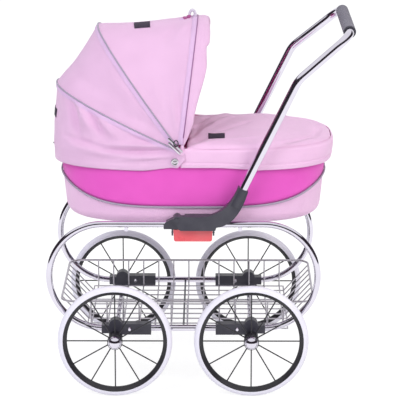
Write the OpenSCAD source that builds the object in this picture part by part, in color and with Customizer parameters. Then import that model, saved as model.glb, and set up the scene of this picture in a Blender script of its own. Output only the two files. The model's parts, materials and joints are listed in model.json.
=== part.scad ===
// Doll's pram: a padded cot with a three-bow folding hood on a chassis of two chrome
// hoops, four spoked wheels and a wire basket. The pushing handle swings forward over
// the hood, and the cot lifts off its two rails.
// Frame: millimetres, +X towards the handle, +Y to the pusher's right, +Z up.
// Origin: on the ground, midway between the four wheels.

/* [Wheels] */
// Distance of a wheel's plane outside its hoop's centre plane
wheel_out = 37; // [34:0.5:56]
// Distance between the front and the rear axle
wheelbase = 252; // [240:1:290]
// Outer diameter of the tyre
wheel_d = 212; // [196:1:226]
// Diameter of the tyre's round section
tyre_d = 19; // [17:0.5:21]
// Width of the rim at its outer edge
rim_w = 16; // [12:0.5:16]
// Depth of the rim, from its outer edge to its inner edge
rim_h = 7.5; // [5:0.5:9]
// Width of the rim at its inner edge
rim_lip = 3.4; // [2.6:0.2:6]
// Number of spokes in a wheel
spoke_count = 12; // [8:1:16]
// Diameter of a spoke
spoke_d = 2.4; // [1.6:0.2:2.6]
// Diameter of the hub at the spokes
hub_d = 28; // [24:1:34]
// Diameter of the hub's inner barrel
barrel_d = 22; // [18:1:24]
// How far the hub stands outside the wheel plane
hub_out = 12; // [9:0.5:14]
// Diameter of the chrome hub cap
cap_d = 26; // [20:1:28]
// Height of the hub cap's dome
cap_h = 11; // [8:0.5:14]
// Wall of the hub cap
cap_wall = 1.2; // [0.8:0.1:2]
// Diameter of the axle rod
axle_d = 7; // [6:0.5:7.5]
// Outer diameter of the sleeve tube that covers the axle between the brackets
sleeve_d = 9.5; // [9:0.5:11]

/* [Chassis] */
// Length of a side hoop, over its tube
hoop_len = 509; // [480:1:540]
// Height of a side hoop, over its tube
hoop_h = 212; // [200:1:224]
// Diameter of the hoop tube
hoop_d = 12; // [11:0.5:13]
// Wall of the hoop tube
hoop_wall = 1.2; // [1:0.1:2]
// Distance of a hoop's centre plane from the widest part of the cot's side
hoop_out = 10; // [9:0.5:14]
// Height of the hoop's lower tube above the axle
axle_drop = 13.5; // [12:0.5:15]
// Diameter of the rails that carry the cot
rail_d = 8; // [8:0.5:11]
// Distance between the two cot rails
rail_gap = 210; // [190:2:220]
// Diameter of the tie rod across the lower tubes
tie_d = 3.6; // [3:0.2:4]

/* [Wheel brackets] */
// Reach of a bracket from its axle towards the middle of the pram
bracket_in = 66; // [50:1:76]
// Reach of a bracket from its axle towards the end of the pram
bracket_out = 26; // [20:1:28]
// Height of the bracket's clamp
bracket_h = 20.5; // [18:0.5:23]
// Thickness of the bracket across the pram
bracket_w = 20; // [18:0.5:21]
// Width of the upright boss that holds the axle
boss_w = 25; // [22:0.5:28]
// Distance from the axle to the clamp screw
screw_in = 26; // [20:1:40]
// Diameter of the clamp screw
screw_d = 4; // [3:0.5:5]
// Diameter of the screw's head
screw_head_d = 8; // [6:0.5:9]

/* [Basket] */
// Length of the basket at its rim
basket_len = 476; // [440:2:490]
// Gap between the basket's rim and the hoop on each side
basket_gap = 11; // [10:1:23]
// Height of the rim above the floor wires
basket_h = 53; // [40:1:70]
// How far each sloping end runs along the pram
basket_run = 48; // [30:1:60]
// Distance of the basket's middle from the middle of the wheels
basket_x = 7; // [-8:1:8]
// Diameter of the basket's mesh wire
wire_d = 2.6; // [2:0.1:3]
// Diameter of the basket's rim wire
rim_wire_d = 4; // [3:0.2:5]
// Radius of the rim's corners
basket_r = 24; // [15:1:32]
// Number of wires across the basket
cross_wires = 13; // [9:1:15]
// Number of wires along the basket's floor
long_wires = 8; // [6:1:10]

/* [Cot] */
// Length of the cot at its rim
cot_len = 504; // [480:1:520]
// Length of the cot at its base
cot_base_len = 478; // [450:1:480]
// Width of the cot at its rim
cot_w = 298; // [288:1:299]
// Width of the cot at its base
cot_base_w = 292; // [280:1:294]
// Height of the cot from its base to its rim
cot_h = 129; // [115:1:140]
// Distance of the cot's middle from the middle of the wheels
cot_x = 17.5; // [10:0.5:24]
// Wall of the cot
cot_wall = 3; // [2:0.5:4]
// Radius of the cot's lower edge
cot_round = 18; // [18:1:32]
// Roundness of the cot's outline: 2 is an ellipse, more is squarer
cot_square = 2.8; // [2.4:0.1:3.4]
// Height of the piping above the base at the cot's side
pipe_low = 32; // [28:1:44]
// How much further the piping rises at the cot's ends
pipe_rise = 45; // [20:1:50]
// Diameter of the piping
pipe_d = 3.6; // [2.6:0.2:4.4]
// Thickness of the base board
board_t = 4; // [3:0.5:6]
// Thickness of the mattress
mattress_t = 22; // [14:1:30]
// Thickness of the feet's plates, under the cot's base
foot_t = 3; // [2.5:0.5:5]

/* [Apron] */
// Where the apron's front edge lies, behind the hood's hinge
apron_gap = 9; // [8:0.5:16]
// How far the apron stands out past the cot's end
apron_over = 12; // [6:0.5:16]
// Thickness of the padded skirt at the cot's sides
skirt_t = 5.4; // [3:0.2:5.8]
// Height of the apron's skirt, from its hem to its seam
skirt_h = 41; // [30:1:46]
// Thickness of the apron's padded top over the cot's rim
pad_t = 13; // [8:1:16]
// How much the apron's middle is crowned
pad_crown = 9; // [4:1:14]

/* [Hood] */
// Distance of the hood's hinge from the middle of the wheels
hood_x = -3; // [-8:1:2]
// Height of the hood's hinge above the cot's rim
hood_lift = 8; // [7:0.5:12]
// Length of the rear bow, from the hinge to its crown
rear_bow_r = 254; // [240:1:262]
// Angle of the rear bow above the line to the handle
rear_bow_a = 156.6; // [152:0.1:160]
// Length of the middle bow, from the hinge to its crown
mid_bow_r = 260; // [240:1:264]
// Angle of the middle bow above the line to the handle
mid_bow_a = 126.9; // [120:0.1:134]
// Length of the front bow, from the hinge to its crown
front_bow_r = 225; // [220:1:245]
// Angle of the front bow above the line to the handle
front_bow_a = 82.7; // [80:0.1:92]
// Width of a bow's flat strip
bow_w = 6; // [5:0.5:7]
// Thickness of a bow's flat strip
bow_t = 2; // [1.5:0.1:2]
// How far the rear bow's strip lies inside the cot's side, at the hinge
bow_in = 1.8; // [1.6:0.1:3]
// Running gap between the bows on their hinge pin
bow_gap = 0.5; // [0.4:0.05:0.6]
// Thickness of the spacer between the middle and the front bow
bow_spacer = 1.8; // [1.6:0.1:2]
// Diameter of the hood's hinge pin
hood_pin_d = 5; // [4:0.5:6]
// Thickness of the hood's fabric
fabric_t = 1.5; // [1:0.1:1.6]
// How far the skirt stands off the cot's front end
skirt_flare = 10; // [4:1:14]
// How far the fabric between the rear and the middle bow dips inside their arc
rear_sag = 12; // [4:1:14]
// How far the fabric between the middle and the front bow dips inside their arc
front_sag = 20; // [4:1:22]
// Depth of the brim at its crown, in front of the front bow
brim_w = 22; // [15:1:32]
// How far the brim's front edge dips below the front bow
brim_dip = 4; // [1:1:30]
// Diameter of the press studs at the skirt's corners
snap_d = 13; // [9:0.5:14]

/* [Handle] */
// Diameter of the handle tube
handle_d = 16; // [14:0.5:16]
// Wall of the handle tube
handle_wall = 1.2; // [1:0.1:2]
// Distance of a leg's centre line outside its hoop's centre plane
leg_out = 11.5; // [11:0.5:13]
// Lean of the legs, from upright
leg_lean = 26; // [22:0.5:30]
// Length of a leg from its socket to the bend
leg_len = 225; // [205:1:245]
// Rise of the upper arms, from level
upper_rise = 40; // [30:1:45]
// Length of an upper arm, along its centre line
upper_len = 123; // [105:1:140]
// How much nearer the middle the upper arm's top end lies
upper_in = 20; // [10:1:30]
// Radius of the tube's lower bends
bend_r = 50; // [50:1:90]
// Radius of the tube's corners at the grip
corner_r = 34; // [28:1:34]
// Length of the foam grip
grip_len = 234; // [200:1:236]
// Diameter of the foam grip
grip_d = 23.5; // [20:0.5:26]
// Height of the socket's mouth above the hoop's upper tube
socket_up = 70; // [64:1:76]
// Distance of the socket's mouth from the middle of the wheels
socket_x = 110; // [106:1:114]
// Depth of the tube in its socket
socket_depth = 30; // [24:1:36]
// Outer diameter of the socket
socket_d = 20; // [19:0.5:20.5]
// Distance of the arm's hinge from the middle of the wheels
pivot_x = -11; // [-14:1:-8]
// Diameter of the arm's hinge pin
pivot_d = 5; // [4:0.5:6]
// Height of the arm's cover above the hoop tube
arm_cover = 12; // [11:0.5:14]

/* [Latch] */
// Length of the red latch along the hoop
latch_len = 73; // [60:1:74]
// Height of the red latch
latch_h = 22; // [18:0.5:26]
// Thickness of the red latch
latch_t = 9; // [8:0.5:11]
// Diameter of the latch's pin
latch_pin_d = 3; // [2.5:0.25:3.5]

/* [Hidden] */
$fn = 48;
clear = 0.3;             // between soft or curved pieces of different bodies
run = 0.05;              // radial running clearance of a pin or shaft
fit = 0.1;               // play of a fixed fit

LEFT = -1;
RIGHT = 1;
FRONT = -1;
REAR = 1;
WHEELS = [["front_left", FRONT, LEFT], ["front_right", FRONT, RIGHT],
          ["rear_left", REAR, LEFT], ["rear_right", REAR, RIGHT]];
SIDES = [["left", LEFT], ["right", RIGHT]];
ENDS = [["front", FRONT], ["rear", REAR]];

// Wheels and axles
axle_z = wheel_d / 2;
hoop_y = max(cot_w, cot_base_w) / 2 + hoop_out;
wheel_y = hoop_y + wheel_out;
tyre_r = wheel_d / 2 - tyre_d / 2;
rim_r = tyre_r;
rim_in_r = rim_r - rim_h;
hub_in_y = hoop_y + bracket_w / 2 + 1;
hub_end_y = wheel_y + hub_out;
spoke_root = 4;          // how deep a spoke sits in the hub
axle_end_y = hub_end_y + 2;

// Hoops
sleeve_end_y = hoop_y - bracket_w / 2;
butt_seam = 0.4;
bracket_end_h = bracket_h * 3 / 4;
boss_rise = 9;           // how far a boss stands above its clamp
boss_drop = 14;          // and below the axle
screw_head_h = 2.4;
hoop_bend_r = (hoop_h - hoop_d) / 2;
hoop_flat = hoop_len / 2 - hoop_d / 2 - hoop_bend_r;
hoop_low_z = axle_z + axle_drop;
hoop_mid_z = hoop_low_z + hoop_bend_r;
hoop_top_z = hoop_low_z + 2 * hoop_bend_r;
hoop_inner_y = hoop_y - hoop_d / 2;
rail_z = hoop_top_z - hoop_d / 2 - rail_d / 2;
screw_x = wheelbase / 2 - screw_in;

// Basket
floor_z = axle_z + sleeve_d / 2 + wire_d / 2 + fit;
cross_z = floor_z + wire_d * 0.85;
rim_z = floor_z + basket_h;
rim_half = basket_len / 2 - rim_wire_d / 2;
floor_half = rim_half - basket_run;
reach_x = floor_half - wire_d / 2 - fit;
rim_y = hoop_inner_y - basket_gap - rim_wire_d / 2;
edge_y = rim_y - 2;
tie_z = cross_z + wire_d / 2 + tie_d / 2 + fit;

// Cot
base_z = hoop_top_z - hoop_d / 2 + foot_t + clear;
rim_top_z = base_z + cot_h;
pipe_z = base_z + pipe_low;
board_z = base_z + cot_wall + fit;
mattress_z = board_z + board_t + clear;
outline_n = 72;

// Apron and hood
seam_z = rim_top_z + pad_t;
hem_z = seam_z - skirt_h;
bow_y = cot_w / 2 - bow_in;
hinge_z = rim_top_z + hood_lift;
apron_x = hood_x + apron_gap;
arch_p = 1.2;           // how slowly a bow leaves its hinge
arch_q = 0.9;           // how round its crown is
arch_end = 79;           // where the fabric stops short of the hinge, in degrees of arch
arch_n = 22;
leg_end = 82;            // and where a bow's straight legs begin
eye_r = hood_pin_d / 2 + 3;
skirt_gap = 1;           // between the skirt's fabric and the cot's rim
snap_back = 13;          // from the hinge to the press stud, along the pram
snap_down = 9;           // and from the rim down to it
rivet_y = bow_y + 3 * (bow_t + bow_gap) + bow_spacer;
panel_lift = bow_t / 2 + 2 * clear;  // from a bow's middle to the fabric outside it
sag_p = 3;               // how clear of the bows the fabric starts to dip
brim_turn = 4;           // how late the brim turns down to its front edge

// Handle
handle_y = hoop_y + leg_out;
socket_z = hoop_top_z + socket_up;
pivot_z = hoop_top_z + hoop_d / 2 + arm_cover / 2;
arm_top_z = hoop_top_z + hoop_d / 2 + arm_cover;
leg_dir = [sin(leg_lean), 0, cos(leg_lean)];
mouth = [socket_x, handle_y, socket_z];
foot = mouth - socket_depth * leg_dir;
bend = mouth + leg_len * leg_dir;
corner = bend + [upper_len * cos(upper_rise), -upper_in, upper_len * sin(upper_rise)];
pivot_r = arm_cover / 2 + 1.5;
lug_y = hoop_y + hoop_d / 2 + 0.8;          // outer face of the fixed lug
plate_y = lug_y + clear;                    // inner face of the arm's cover plate
plate_out_y = handle_y + 7;                 // outer face of the arm's cover plate
block_y = hoop_inner_y - 2;                 // inner face of the arm's block
arm_skirt_z = hoop_top_z - 8;
block_x = pivot_x + pivot_r + 6;
block_end_x = pivot_x + 70;
block_z = hoop_top_z + hoop_d / 2 + clear;  // underside of the block, over the hoop tube
neck_y = handle_y - socket_d / 2 + 0.5;

// Latch
latch_x = pivot_x + 29;
latch_top_z = hoop_top_z - hoop_d / 2 - 3;
latch_pin_z = latch_top_z - 6;
latch_play = 1.2;        // room above the latch for its turn
spring_coil_d = 5;       // mean diameter of the latch's spring
spring_wire_d = 0.8;
spring_len = 9;
latch_y = hoop_y + 3;
ear_t = 3;
ear_drop = 5;            // how far an ear reaches below the latch's pin
ear_in = 6;              // and how far it reaches towards the middle of the pram
nose_len = 25;           // reach of the arm bracket's nose ahead of the hinge
nose_cut = 5;            // length of the nose's sloping end

CHROME = [0.80, 0.80, 0.83];
DARK = [0.24, 0.23, 0.29];
RIM_BLACK = [0.20, 0.20, 0.23];
TYRE_WHITE = [0.93, 0.93, 0.95];
LIGHT_PINK = [0.93, 0.78, 0.91];
HOT_PINK = [0.92, 0.42, 0.80];
PIPING = [0.76, 0.72, 0.82];
LATCH_RED = [0.87, 0.35, 0.38];
FOAM = [0.47, 0.45, 0.51];

// ---- Shared geometry ----

function lerp(a, b, t) = a + (b - a) * t;
function spow(v, e) = sign(v) * pow(abs(v), e);
function unit(v) = v / norm(v);
function flat(rings) = [for (r = rings) each r];
function flip_y(p, side) = [p[0], side * p[1], p[2]];
function arc(c, r, a0, a1, n) = [for (i = [0:n]) let (a = lerp(a0, a1, i / n)) c + r * [cos(a), sin(a)]];
function curve(p, q, r, n) = [for (i = [0:n]) let (t = i / n)
    p * (1 - t) ^ 2 + q * 2 * t * (1 - t) + r * t ^ 2];

// A polyline with its inner corners rounded to radius r
function rounded(pts, r, n) = flat([for (i = [0:len(pts) - 1])
    i == 0 || i == len(pts) - 1 ? [pts[i]] :
    let (u = unit(pts[i - 1] - pts[i]), v = unit(pts[i + 1] - pts[i]), half = acos(u * v) / 2,
         reach = r[i] / tan(half), a = pts[i] + reach * u, b = pts[i] + reach * v,
         c = pts[i] + unit(u + v) * r[i] / sin(half), sweep = 180 - 2 * half,
         e = unit(a - c), f = unit((b - c) - ((b - c) * e) * e))
    [for (k = [0:n]) c + r[i] * (cos(sweep * k / n) * e + sin(sweep * k / n) * f)]]);

// Directions along a path, averaged at its inner points
function headings(path) = [for (i = [0:len(path) - 1])
    unit(path[min(i + 1, len(path) - 1)] - path[max(i - 1, 0)])];

// Rings of a round tube about a path; ref is never parallel to the path
function tube_rings(path, r, ref, sides) = let (h = headings(path)) [for (i = [0:len(path) - 1])
    let (e = unit(cross(h[i], ref)), f = cross(h[i], e))
    [for (k = [0:sides - 1]) path[i] + r * (cos(360 * k / sides) * e + sin(360 * k / sides) * f)]];

// Faces between neighbouring rings of n points, first ring starting at point `from`
function wall_faces(count, n, from, inward) = [for (i = [0:count - 2]) for (k = [0:n - 1])
    let (a = from + i * n + k, b = from + i * n + (k + 1) % n, c = b + n, d = a + n)
    each inward ? [[a, b, c], [a, c, d]] : [[a, c, b], [a, d, c]]];

// A solid through closed rings, with flat ends
module loft(rings) {
    n = len(rings[0]);
    last = (len(rings) - 1) * n;
    polyhedron(flat(rings), concat(
        [[for (k = [0:n - 1]) k]], wall_faces(len(rings), n, 0, false), [[for (k = [n - 1:-1:0]) last + k]]));
}

// A solid whose closed section runs round a closed loop
module loop(rings) {
    loft_n = len(rings[0]);
    count = len(rings);
    polyhedron(flat(rings), [for (i = [0:count - 1]) for (k = [0:loft_n - 1])
        let (a = i * loft_n + k, b = i * loft_n + (k + 1) % loft_n,
             j = (i + 1) % count, c = j * loft_n + (k + 1) % loft_n, d = j * loft_n + k)
        each [[a, c, b], [a, d, c]]]);
}

// A hollow tube along a path, open at both ends
module pipe(path, d, wall, ref, sides) {
    outer = tube_rings(path, d / 2, ref, sides);
    inner = tube_rings(path, d / 2 - wall, ref, sides);
    count = len(path);
    start = count * sides;
    end = (count - 1) * sides;
    polyhedron(concat(flat(outer), flat(inner)), concat(
        wall_faces(count, sides, 0, false), wall_faces(count, sides, start, true),
        [for (k = [0:sides - 1]) let (m = (k + 1) % sides) each
            [[k, m, start + k], [start + k, m, start + m],
             [end + m, end + k, start + end + m], [start + end + m, end + k, start + end + k]]]));
}

// A round bar between two points
module rod(p, q, d) {
    v = q - p;
    translate(p) rotate([0, acos(v[2] / norm(v)), atan2(v[1], v[0])]) cylinder(d = d, h = norm(v));
}

// A cylinder along Y from y0 to y1 at x, z
module across(x, z, y0, y1, d) {
    translate([x, max(y0, y1), z]) rotate([90, 0, 0]) cylinder(d = d, h = abs(y1 - y0));
}

// A side-view outline (x, z) given thickness from y0 to y1 on the chosen side
module side_plate(side, y0, y1) {
    translate([0, side > 0 ? y1 : -y0, 0]) rotate([90, 0, 0]) linear_extrude(y1 - y0) children();
}

// ---- Chassis ----

module hoop_section() {
    difference() {
        circle(d = hoop_d);
        circle(d = hoop_d - 2 * hoop_wall);
    }
}

module side_hoop(side) {
    color(CHROME) difference() {
        translate([0, side * hoop_y, hoop_mid_z]) rotate([90, 0, 0]) union() {
            for (end = [FRONT, REAR])
                translate([end * hoop_flat, 0, 0]) rotate([0, 0, -90 * end]) rotate_extrude(angle = 180)
                    translate([hoop_bend_r, 0]) hoop_section();
            for (z = [-hoop_bend_r, hoop_bend_r])
                translate([-hoop_flat, z, 0]) rotate([0, 90, 0]) linear_extrude(2 * hoop_flat) hoop_section();
        }
        for (end = [FRONT, REAR])
            screw_hole(end, side);
        // The tube's butt seam, inside a wheel bracket
        translate([wheelbase / 2, side * hoop_y, hoop_low_z])
            cube([butt_seam, 2 * hoop_d, 2 * hoop_d], center = true);
    }
}

// The hole for a bracket's screw, through the bracket and the hoop tube
module screw_hole(end, side) {
    across(end * screw_x, hoop_low_z, side * (hoop_y - bracket_w), side * (hoop_y + bracket_w),
           screw_d + 2 * fit);
}

module axle(end) {
    color(CHROME) {
        across(end * wheelbase / 2, axle_z, -axle_end_y, axle_end_y, axle_d);
        difference() {
            across(end * wheelbase / 2, axle_z, -sleeve_end_y, sleeve_end_y, sleeve_d);
            across(end * wheelbase / 2, axle_z, -hoop_y, hoop_y, axle_d);
        }
    }
}

// The bracket's boss: a tall oval that joins the clamp to the axle
module boss_outline() {
    top = hoop_low_z + bracket_h / 2 + boss_rise;
    low = axle_z - boss_drop;
    r = boss_w / 2;
    polygon(concat(arc([0, top - r], r, 0, 180, 16), arc([0, low + r], r, 180, 360, 16)));
}

module wheel_bracket(end, side) {
    x = end * wheelbase / 2;
    color(DARK) difference() {
        side_plate(side, hoop_y - bracket_w / 2, hoop_y + bracket_w / 2) {
            translate([min(x, x - end * bracket_in), hoop_low_z - bracket_h / 2])
                square([bracket_in, bracket_h]);
            translate([min(x, x + end * bracket_out), hoop_low_z - bracket_end_h / 2])
                square([bracket_out, bracket_end_h]);
            translate([x, 0]) boss_outline();
        }
        rod([x - 2 * bracket_in, side * hoop_y, hoop_low_z], [x + 2 * bracket_in, side * hoop_y, hoop_low_z],
            hoop_d + 2 * fit);
        across(x, axle_z, side * (hoop_y - bracket_w), side * (hoop_y + bracket_w), axle_d + 2 * fit);
        screw_hole(end, side);
    }
}

module bracket_screws() {
    color(CHROME) for (w = WHEELS) {
        x = w[1] * screw_x;
        y = w[2] * hoop_y;
        across(x, hoop_low_z, y - bracket_w / 2 - screw_head_h, y + bracket_w / 2 + screw_head_h, screw_d);
        for (face = [-1, 1])
            translate([x, y + face * (bracket_w / 2), hoop_low_z]) rotate([-90 * face, 0, 0])
                cylinder(d1 = screw_head_d, d2 = screw_head_d * 0.6, h = screw_head_h);
    }
}

module tie_rod() {
    color(DARK) across(0, tie_z, -hoop_inner_y + fit, hoop_inner_y - fit, tie_d);
}

module cot_rails() {
    color(CHROME) for (end = [FRONT, REAR])
        across(end * rail_gap / 2, rail_z, -hoop_y, hoop_y, rail_d);
}

// ---- Basket ----

module basket_floor() {
    reach_y = edge_y - wire_d / 2 - fit;
    color(CHROME) translate([basket_x, 0, 0]) {
        for (i = [0:long_wires - 1]) {
            y = lerp(-edge_y, edge_y, (i + 1) / (long_wires + 1));
            rod([-reach_x, y, floor_z], [reach_x, y, floor_z], wire_d);
        }
        for (x = cross_places())
            rod([x, -reach_y, cross_z], [x, reach_y, cross_z], wire_d);
    }
}

function cross_places() = [for (i = [0:cross_wires - 1])
    lerp(-1, 1, i / (cross_wires - 1)) * (floor_half - 8)];

module basket_side(side) {
    color(CHROME) translate([basket_x, 0, 0]) {
        rod([-rim_half + basket_r, side * rim_y, rim_z], [rim_half - basket_r, side * rim_y, rim_z],
            rim_wire_d);
        rod([-reach_x, side * edge_y, floor_z], [reach_x, side * edge_y, floor_z], wire_d);
        for (x = cross_places())
            rod([x, side * edge_y, floor_z], [x, side * rim_y, rim_z], wire_d);
    }
}

module basket_end(end) {
    x = end * rim_half;
    color(CHROME) translate([basket_x, 0, 0]) {
        rod([x, -rim_y + basket_r, rim_z], [x, rim_y - basket_r, rim_z], rim_wire_d);
        for (side = [LEFT, RIGHT])
            translate([end * (rim_half - basket_r), side * (rim_y - basket_r), rim_z])
                rotate([0, 0, end > 0 ? (side > 0 ? 0 : -90) : (side > 0 ? 90 : 180)])
                    rotate_extrude(angle = 90) translate([basket_r, 0]) circle(d = rim_wire_d);
        rod([end * floor_half, -edge_y, floor_z], [end * floor_half, edge_y, floor_z], wire_d);
        for (i = [0:long_wires - 1]) {
            y = lerp(-edge_y, edge_y, (i + 1) / (long_wires + 1));
            rod([end * floor_half, y, floor_z], [x, y, rim_z], wire_d);
        }
    }
}

// ---- Wheels ----

module at_wheel(end, side) {
    translate([end * wheelbase / 2, side * wheel_y, axle_z]) rotate([side > 0 ? -90 : 90, 0, 0]) children();
}

module tyre(end, side) {
    color(TYRE_WHITE) at_wheel(end, side) difference() {
        rotate_extrude($fn = 96) translate([tyre_r, 0]) circle(d = tyre_d, $fn = 32);
        cylinder(r = rim_r + fit, h = 2 * tyre_d, center = true, $fn = 96);
    }
}

module rim(end, side) {
    color(RIM_BLACK) at_wheel(end, side) rotate_extrude($fn = 96)
        polygon([[rim_in_r, -rim_lip / 2], [rim_r - 1, -rim_w / 2], [rim_r, -rim_w / 2],
                 [rim_r, rim_w / 2], [rim_r - 1, rim_w / 2], [rim_in_r, rim_lip / 2]]);
}

module spoked_hub(end, side) {
    color(RIM_BLACK) at_wheel(end, side) difference() {
        union() {
            translate([0, 0, hub_in_y - wheel_y]) cylinder(d = barrel_d, h = wheel_y - hub_in_y);
            translate([0, 0, -spoke_d]) cylinder(d = hub_d, h = hub_out + spoke_d);
            for (k = [0:spoke_count - 1])
                rotate([0, 0, 360 * k / spoke_count]) translate([hub_d / 2 - spoke_root, 0, 0])
                    rotate([0, 90, 0]) cylinder(d = spoke_d, h = rim_in_r - fit - hub_d / 2 + spoke_root);
        }
        cylinder(d = axle_d + 2 * run, h = 4 * hub_out + 2 * wheel_y, center = true);
    }
}

module hub_cap(end, side) {
    dome_r = (pow(cap_d / 2, 2) + pow(cap_h, 2)) / (2 * cap_h);
    color(CHROME) at_wheel(end, side) translate([0, 0, hub_out + fit]) difference() {
        intersection() {
            translate([0, 0, cap_h - dome_r]) sphere(r = dome_r);
            cylinder(d = cap_d, h = cap_h + 1);
        }
        intersection() {
            translate([0, 0, cap_h - dome_r]) sphere(r = dome_r - cap_wall);
            translate([0, 0, -1]) cylinder(d = cap_d - 2 * cap_wall, h = cap_h + 1);
        }
    }
}

// ---- Handle, its arms and its brackets ----

// Fixed on the hoop's upper tube: a nose, a hinge lug on the tube and the latch's ears
module arm_bracket(side) {
    nose_x = pivot_x - nose_len;
    end_x = latch_x + latch_len / 2 + ear_t;
    low_z = latch_top_z + latch_play;
    ear_z = latch_pin_z - ear_drop;
    color(DARK) difference() {
        union() {
            // The saddle along the tube's underside
            side_plate(side, block_y, lug_y)
                polygon([[nose_x, low_z], [end_x, low_z], [end_x, hoop_top_z - 1], [nose_x, hoop_top_z - 1]]);
            // The nose and the hinge lug
            side_plate(side, block_y, lug_y)
                polygon(concat(arc([pivot_x, pivot_z], pivot_r, 0, 180, 16),
                               [[nose_x + nose_cut, hoop_top_z + hoop_d / 2], [nose_x, hoop_top_z + 1],
                                [nose_x, low_z], [pivot_x + pivot_r, low_z]]));
            for (x = [latch_x - latch_len / 2 - ear_t, latch_x + latch_len / 2])
                side_plate(side, latch_y - ear_in, lug_y)
                    translate([x, ear_z]) square([ear_t, low_z - ear_z + 1]);
        }
        rod([nose_x - 1, side * hoop_y, hoop_top_z], [end_x + 1, side * hoop_y, hoop_top_z],
            hoop_d + 2 * fit);
        across(pivot_x, pivot_z, side * (block_y - 1), side * (lug_y + 1), pivot_d + 2 * fit);
        along_latch(side * latch_y, 2 * latch_len, latch_pin_d + 2 * fit);
    }
}

// A cylinder along the latch's pin, about the latch's middle
module along_latch(y, length, d) {
    rod([latch_x - length / 2, y, latch_pin_z], [latch_x + length / 2, y, latch_pin_z], d);
}

module arm_pins() {
    color(CHROME) for (side = [LEFT, RIGHT]) {
        across(pivot_x, pivot_z, side * (block_y - 0.5), side * (plate_out_y + 0.6), pivot_d);
        across(pivot_x, pivot_z, side * (plate_out_y + clear), side * (plate_out_y + 2), pivot_d + 3);
    }
}

module latch_pins() {
    color(CHROME) for (side = [LEFT, RIGHT])
        along_latch(side * latch_y, latch_len + 2 * ear_t + 1, latch_pin_d);
}

// Side view of the arm's cover plate, from the hinge to the neck
function cover_outline() = concat(
    arc([pivot_x, pivot_z], pivot_r, 100, 250, 12),
    [[pivot_x + 2, arm_skirt_z + 3], [pivot_x + 6, arm_skirt_z], [block_end_x, arm_skirt_z]]);

function neck_top() = curve([pivot_x + 40, arm_top_z], [socket_x - 28, arm_top_z + 2],
    [mouth[0], mouth[2]] + socket_d / 2 * [-cos(leg_lean), sin(leg_lean)], 10);

function neck_low() = curve([mouth[0], mouth[2]] + socket_d / 2 * [cos(leg_lean), -sin(leg_lean)],
    [socket_x - 10, arm_skirt_z + 10], [block_end_x + 2, arm_skirt_z + 6], 10);

module handle_arm(side) {
    color(DARK) difference() {
        union() {
            side_plate(side, plate_y, plate_out_y)
                polygon(concat(cover_outline(), [for (i = [len(neck_low()) - 1:-1:0]) neck_low()[i]],
                               [for (i = [len(neck_top()) - 1:-1:0]) neck_top()[i]]));
            side_plate(side, neck_y, plate_y)
                polygon(concat([for (i = [len(neck_low()) - 2:-1:0]) let (p = neck_low()[i])
                                   [p[0], max(p[1], block_z)]],
                               [for (i = [len(neck_top()) - 1:-1:5]) neck_top()[i]]));
            side_plate(side, block_y, plate_y)
                translate([block_x, block_z]) square([block_end_x - block_x, arm_top_z - block_z]);
            rod(flip_y(foot - 6 * leg_dir, side), flip_y(mouth, side), socket_d);
        }
        rod(flip_y(foot, side), flip_y(mouth + 5 * leg_dir, side), handle_d + 2 * fit);
        across(pivot_x, pivot_z, side * (plate_y - 1), side * (plate_out_y + 1), pivot_d + 2 * run);
    }
}

module handle_tube() {
    half = [foot, bend, corner];
    pts = concat([for (p = half) flip_y(p, LEFT)], [for (i = [2:-1:0]) flip_y(half[i], RIGHT)]);
    path = rounded(pts, [0, bend_r, corner_r, corner_r, bend_r, 0], 8);
    color(CHROME) pipe(path, handle_d, handle_wall, [cos(leg_lean), 0, -sin(leg_lean)], 24);
}

module handle_grip() {
    color(FOAM) difference() {
        across(corner[0], corner[2], -grip_len / 2, grip_len / 2, grip_d);
        across(corner[0], corner[2], -grip_len, grip_len, handle_d + 2 * fit);
    }
}

module grip_rings() {
    ring_w = 4;
    color(DARK) for (side = [LEFT, RIGHT]) difference() {
        across(corner[0], corner[2], side * (grip_len / 2 + fit), side * (grip_len / 2 + fit + ring_w),
               grip_d - 1.5);
        across(corner[0], corner[2], -grip_len, grip_len, handle_d + 4 * fit);
    }
}

module release_latch(side) {
    low = latch_top_z - latch_h;
    r = 4;
    half = latch_len / 2 - clear;
    color(LATCH_RED) translate([0, side * latch_y + latch_t / 2, 0]) difference() {
        rotate([90, 0, 0]) linear_extrude(latch_t) polygon(concat(
            [[latch_x + half, latch_top_z], [latch_x - half, latch_top_z]],
            arc([latch_x - half + r + 1, low + r], r, 180, 270, 6),
            arc([latch_x + half - r - 1, low + r], r, 270, 360, 6)));
        along_latch(-latch_t / 2, 2 * latch_len, latch_pin_d + 2 * run);
        // The pocket that holds the spring
        along_latch(-latch_t / 2, spring_len + 2, spring_coil_d + spring_wire_d + 1);
    }
}

module latch_springs() {
    turns = 6;
    steps = 14;
    color(CHROME) for (side = [LEFT, RIGHT])
        loft(tube_rings([for (i = [0:turns * steps])
            [latch_x + spring_len * (i / (turns * steps) - 0.5),
             side * latch_y + spring_coil_d / 2 * cos(360 * i / steps),
             latch_pin_z + spring_coil_d / 2 * sin(360 * i / steps)]], spring_wire_d / 2, [1, 0, 0], 6));
}

// ---- Cot ----

// Half length and half width of the cot's outside at height z
function cot_half(z) = let (t = (z - base_z) / cot_h)
    [lerp(cot_base_len, cot_len, t) / 2, lerp(cot_base_w, cot_w, t) / 2];

// A point of the cot's outline, at angle a round it, moved out by `out`
function cot_point(a, z, out) = let (h = cot_half(z))
    [cot_x + (h[0] + out) * spow(cos(a), 2 / cot_square), (h[1] + out) * spow(sin(a), 2 / cot_square), z];

function outline_angles() = [for (i = [0:outline_n - 1]) 360 * (i + 0.5) / outline_n];
function cot_ring(z, out) = [for (a = outline_angles()) cot_point(a, z, out)];
function pipe_height(a) = pipe_z + pipe_rise * pow(abs(cos(a)), 3.4);

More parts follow.
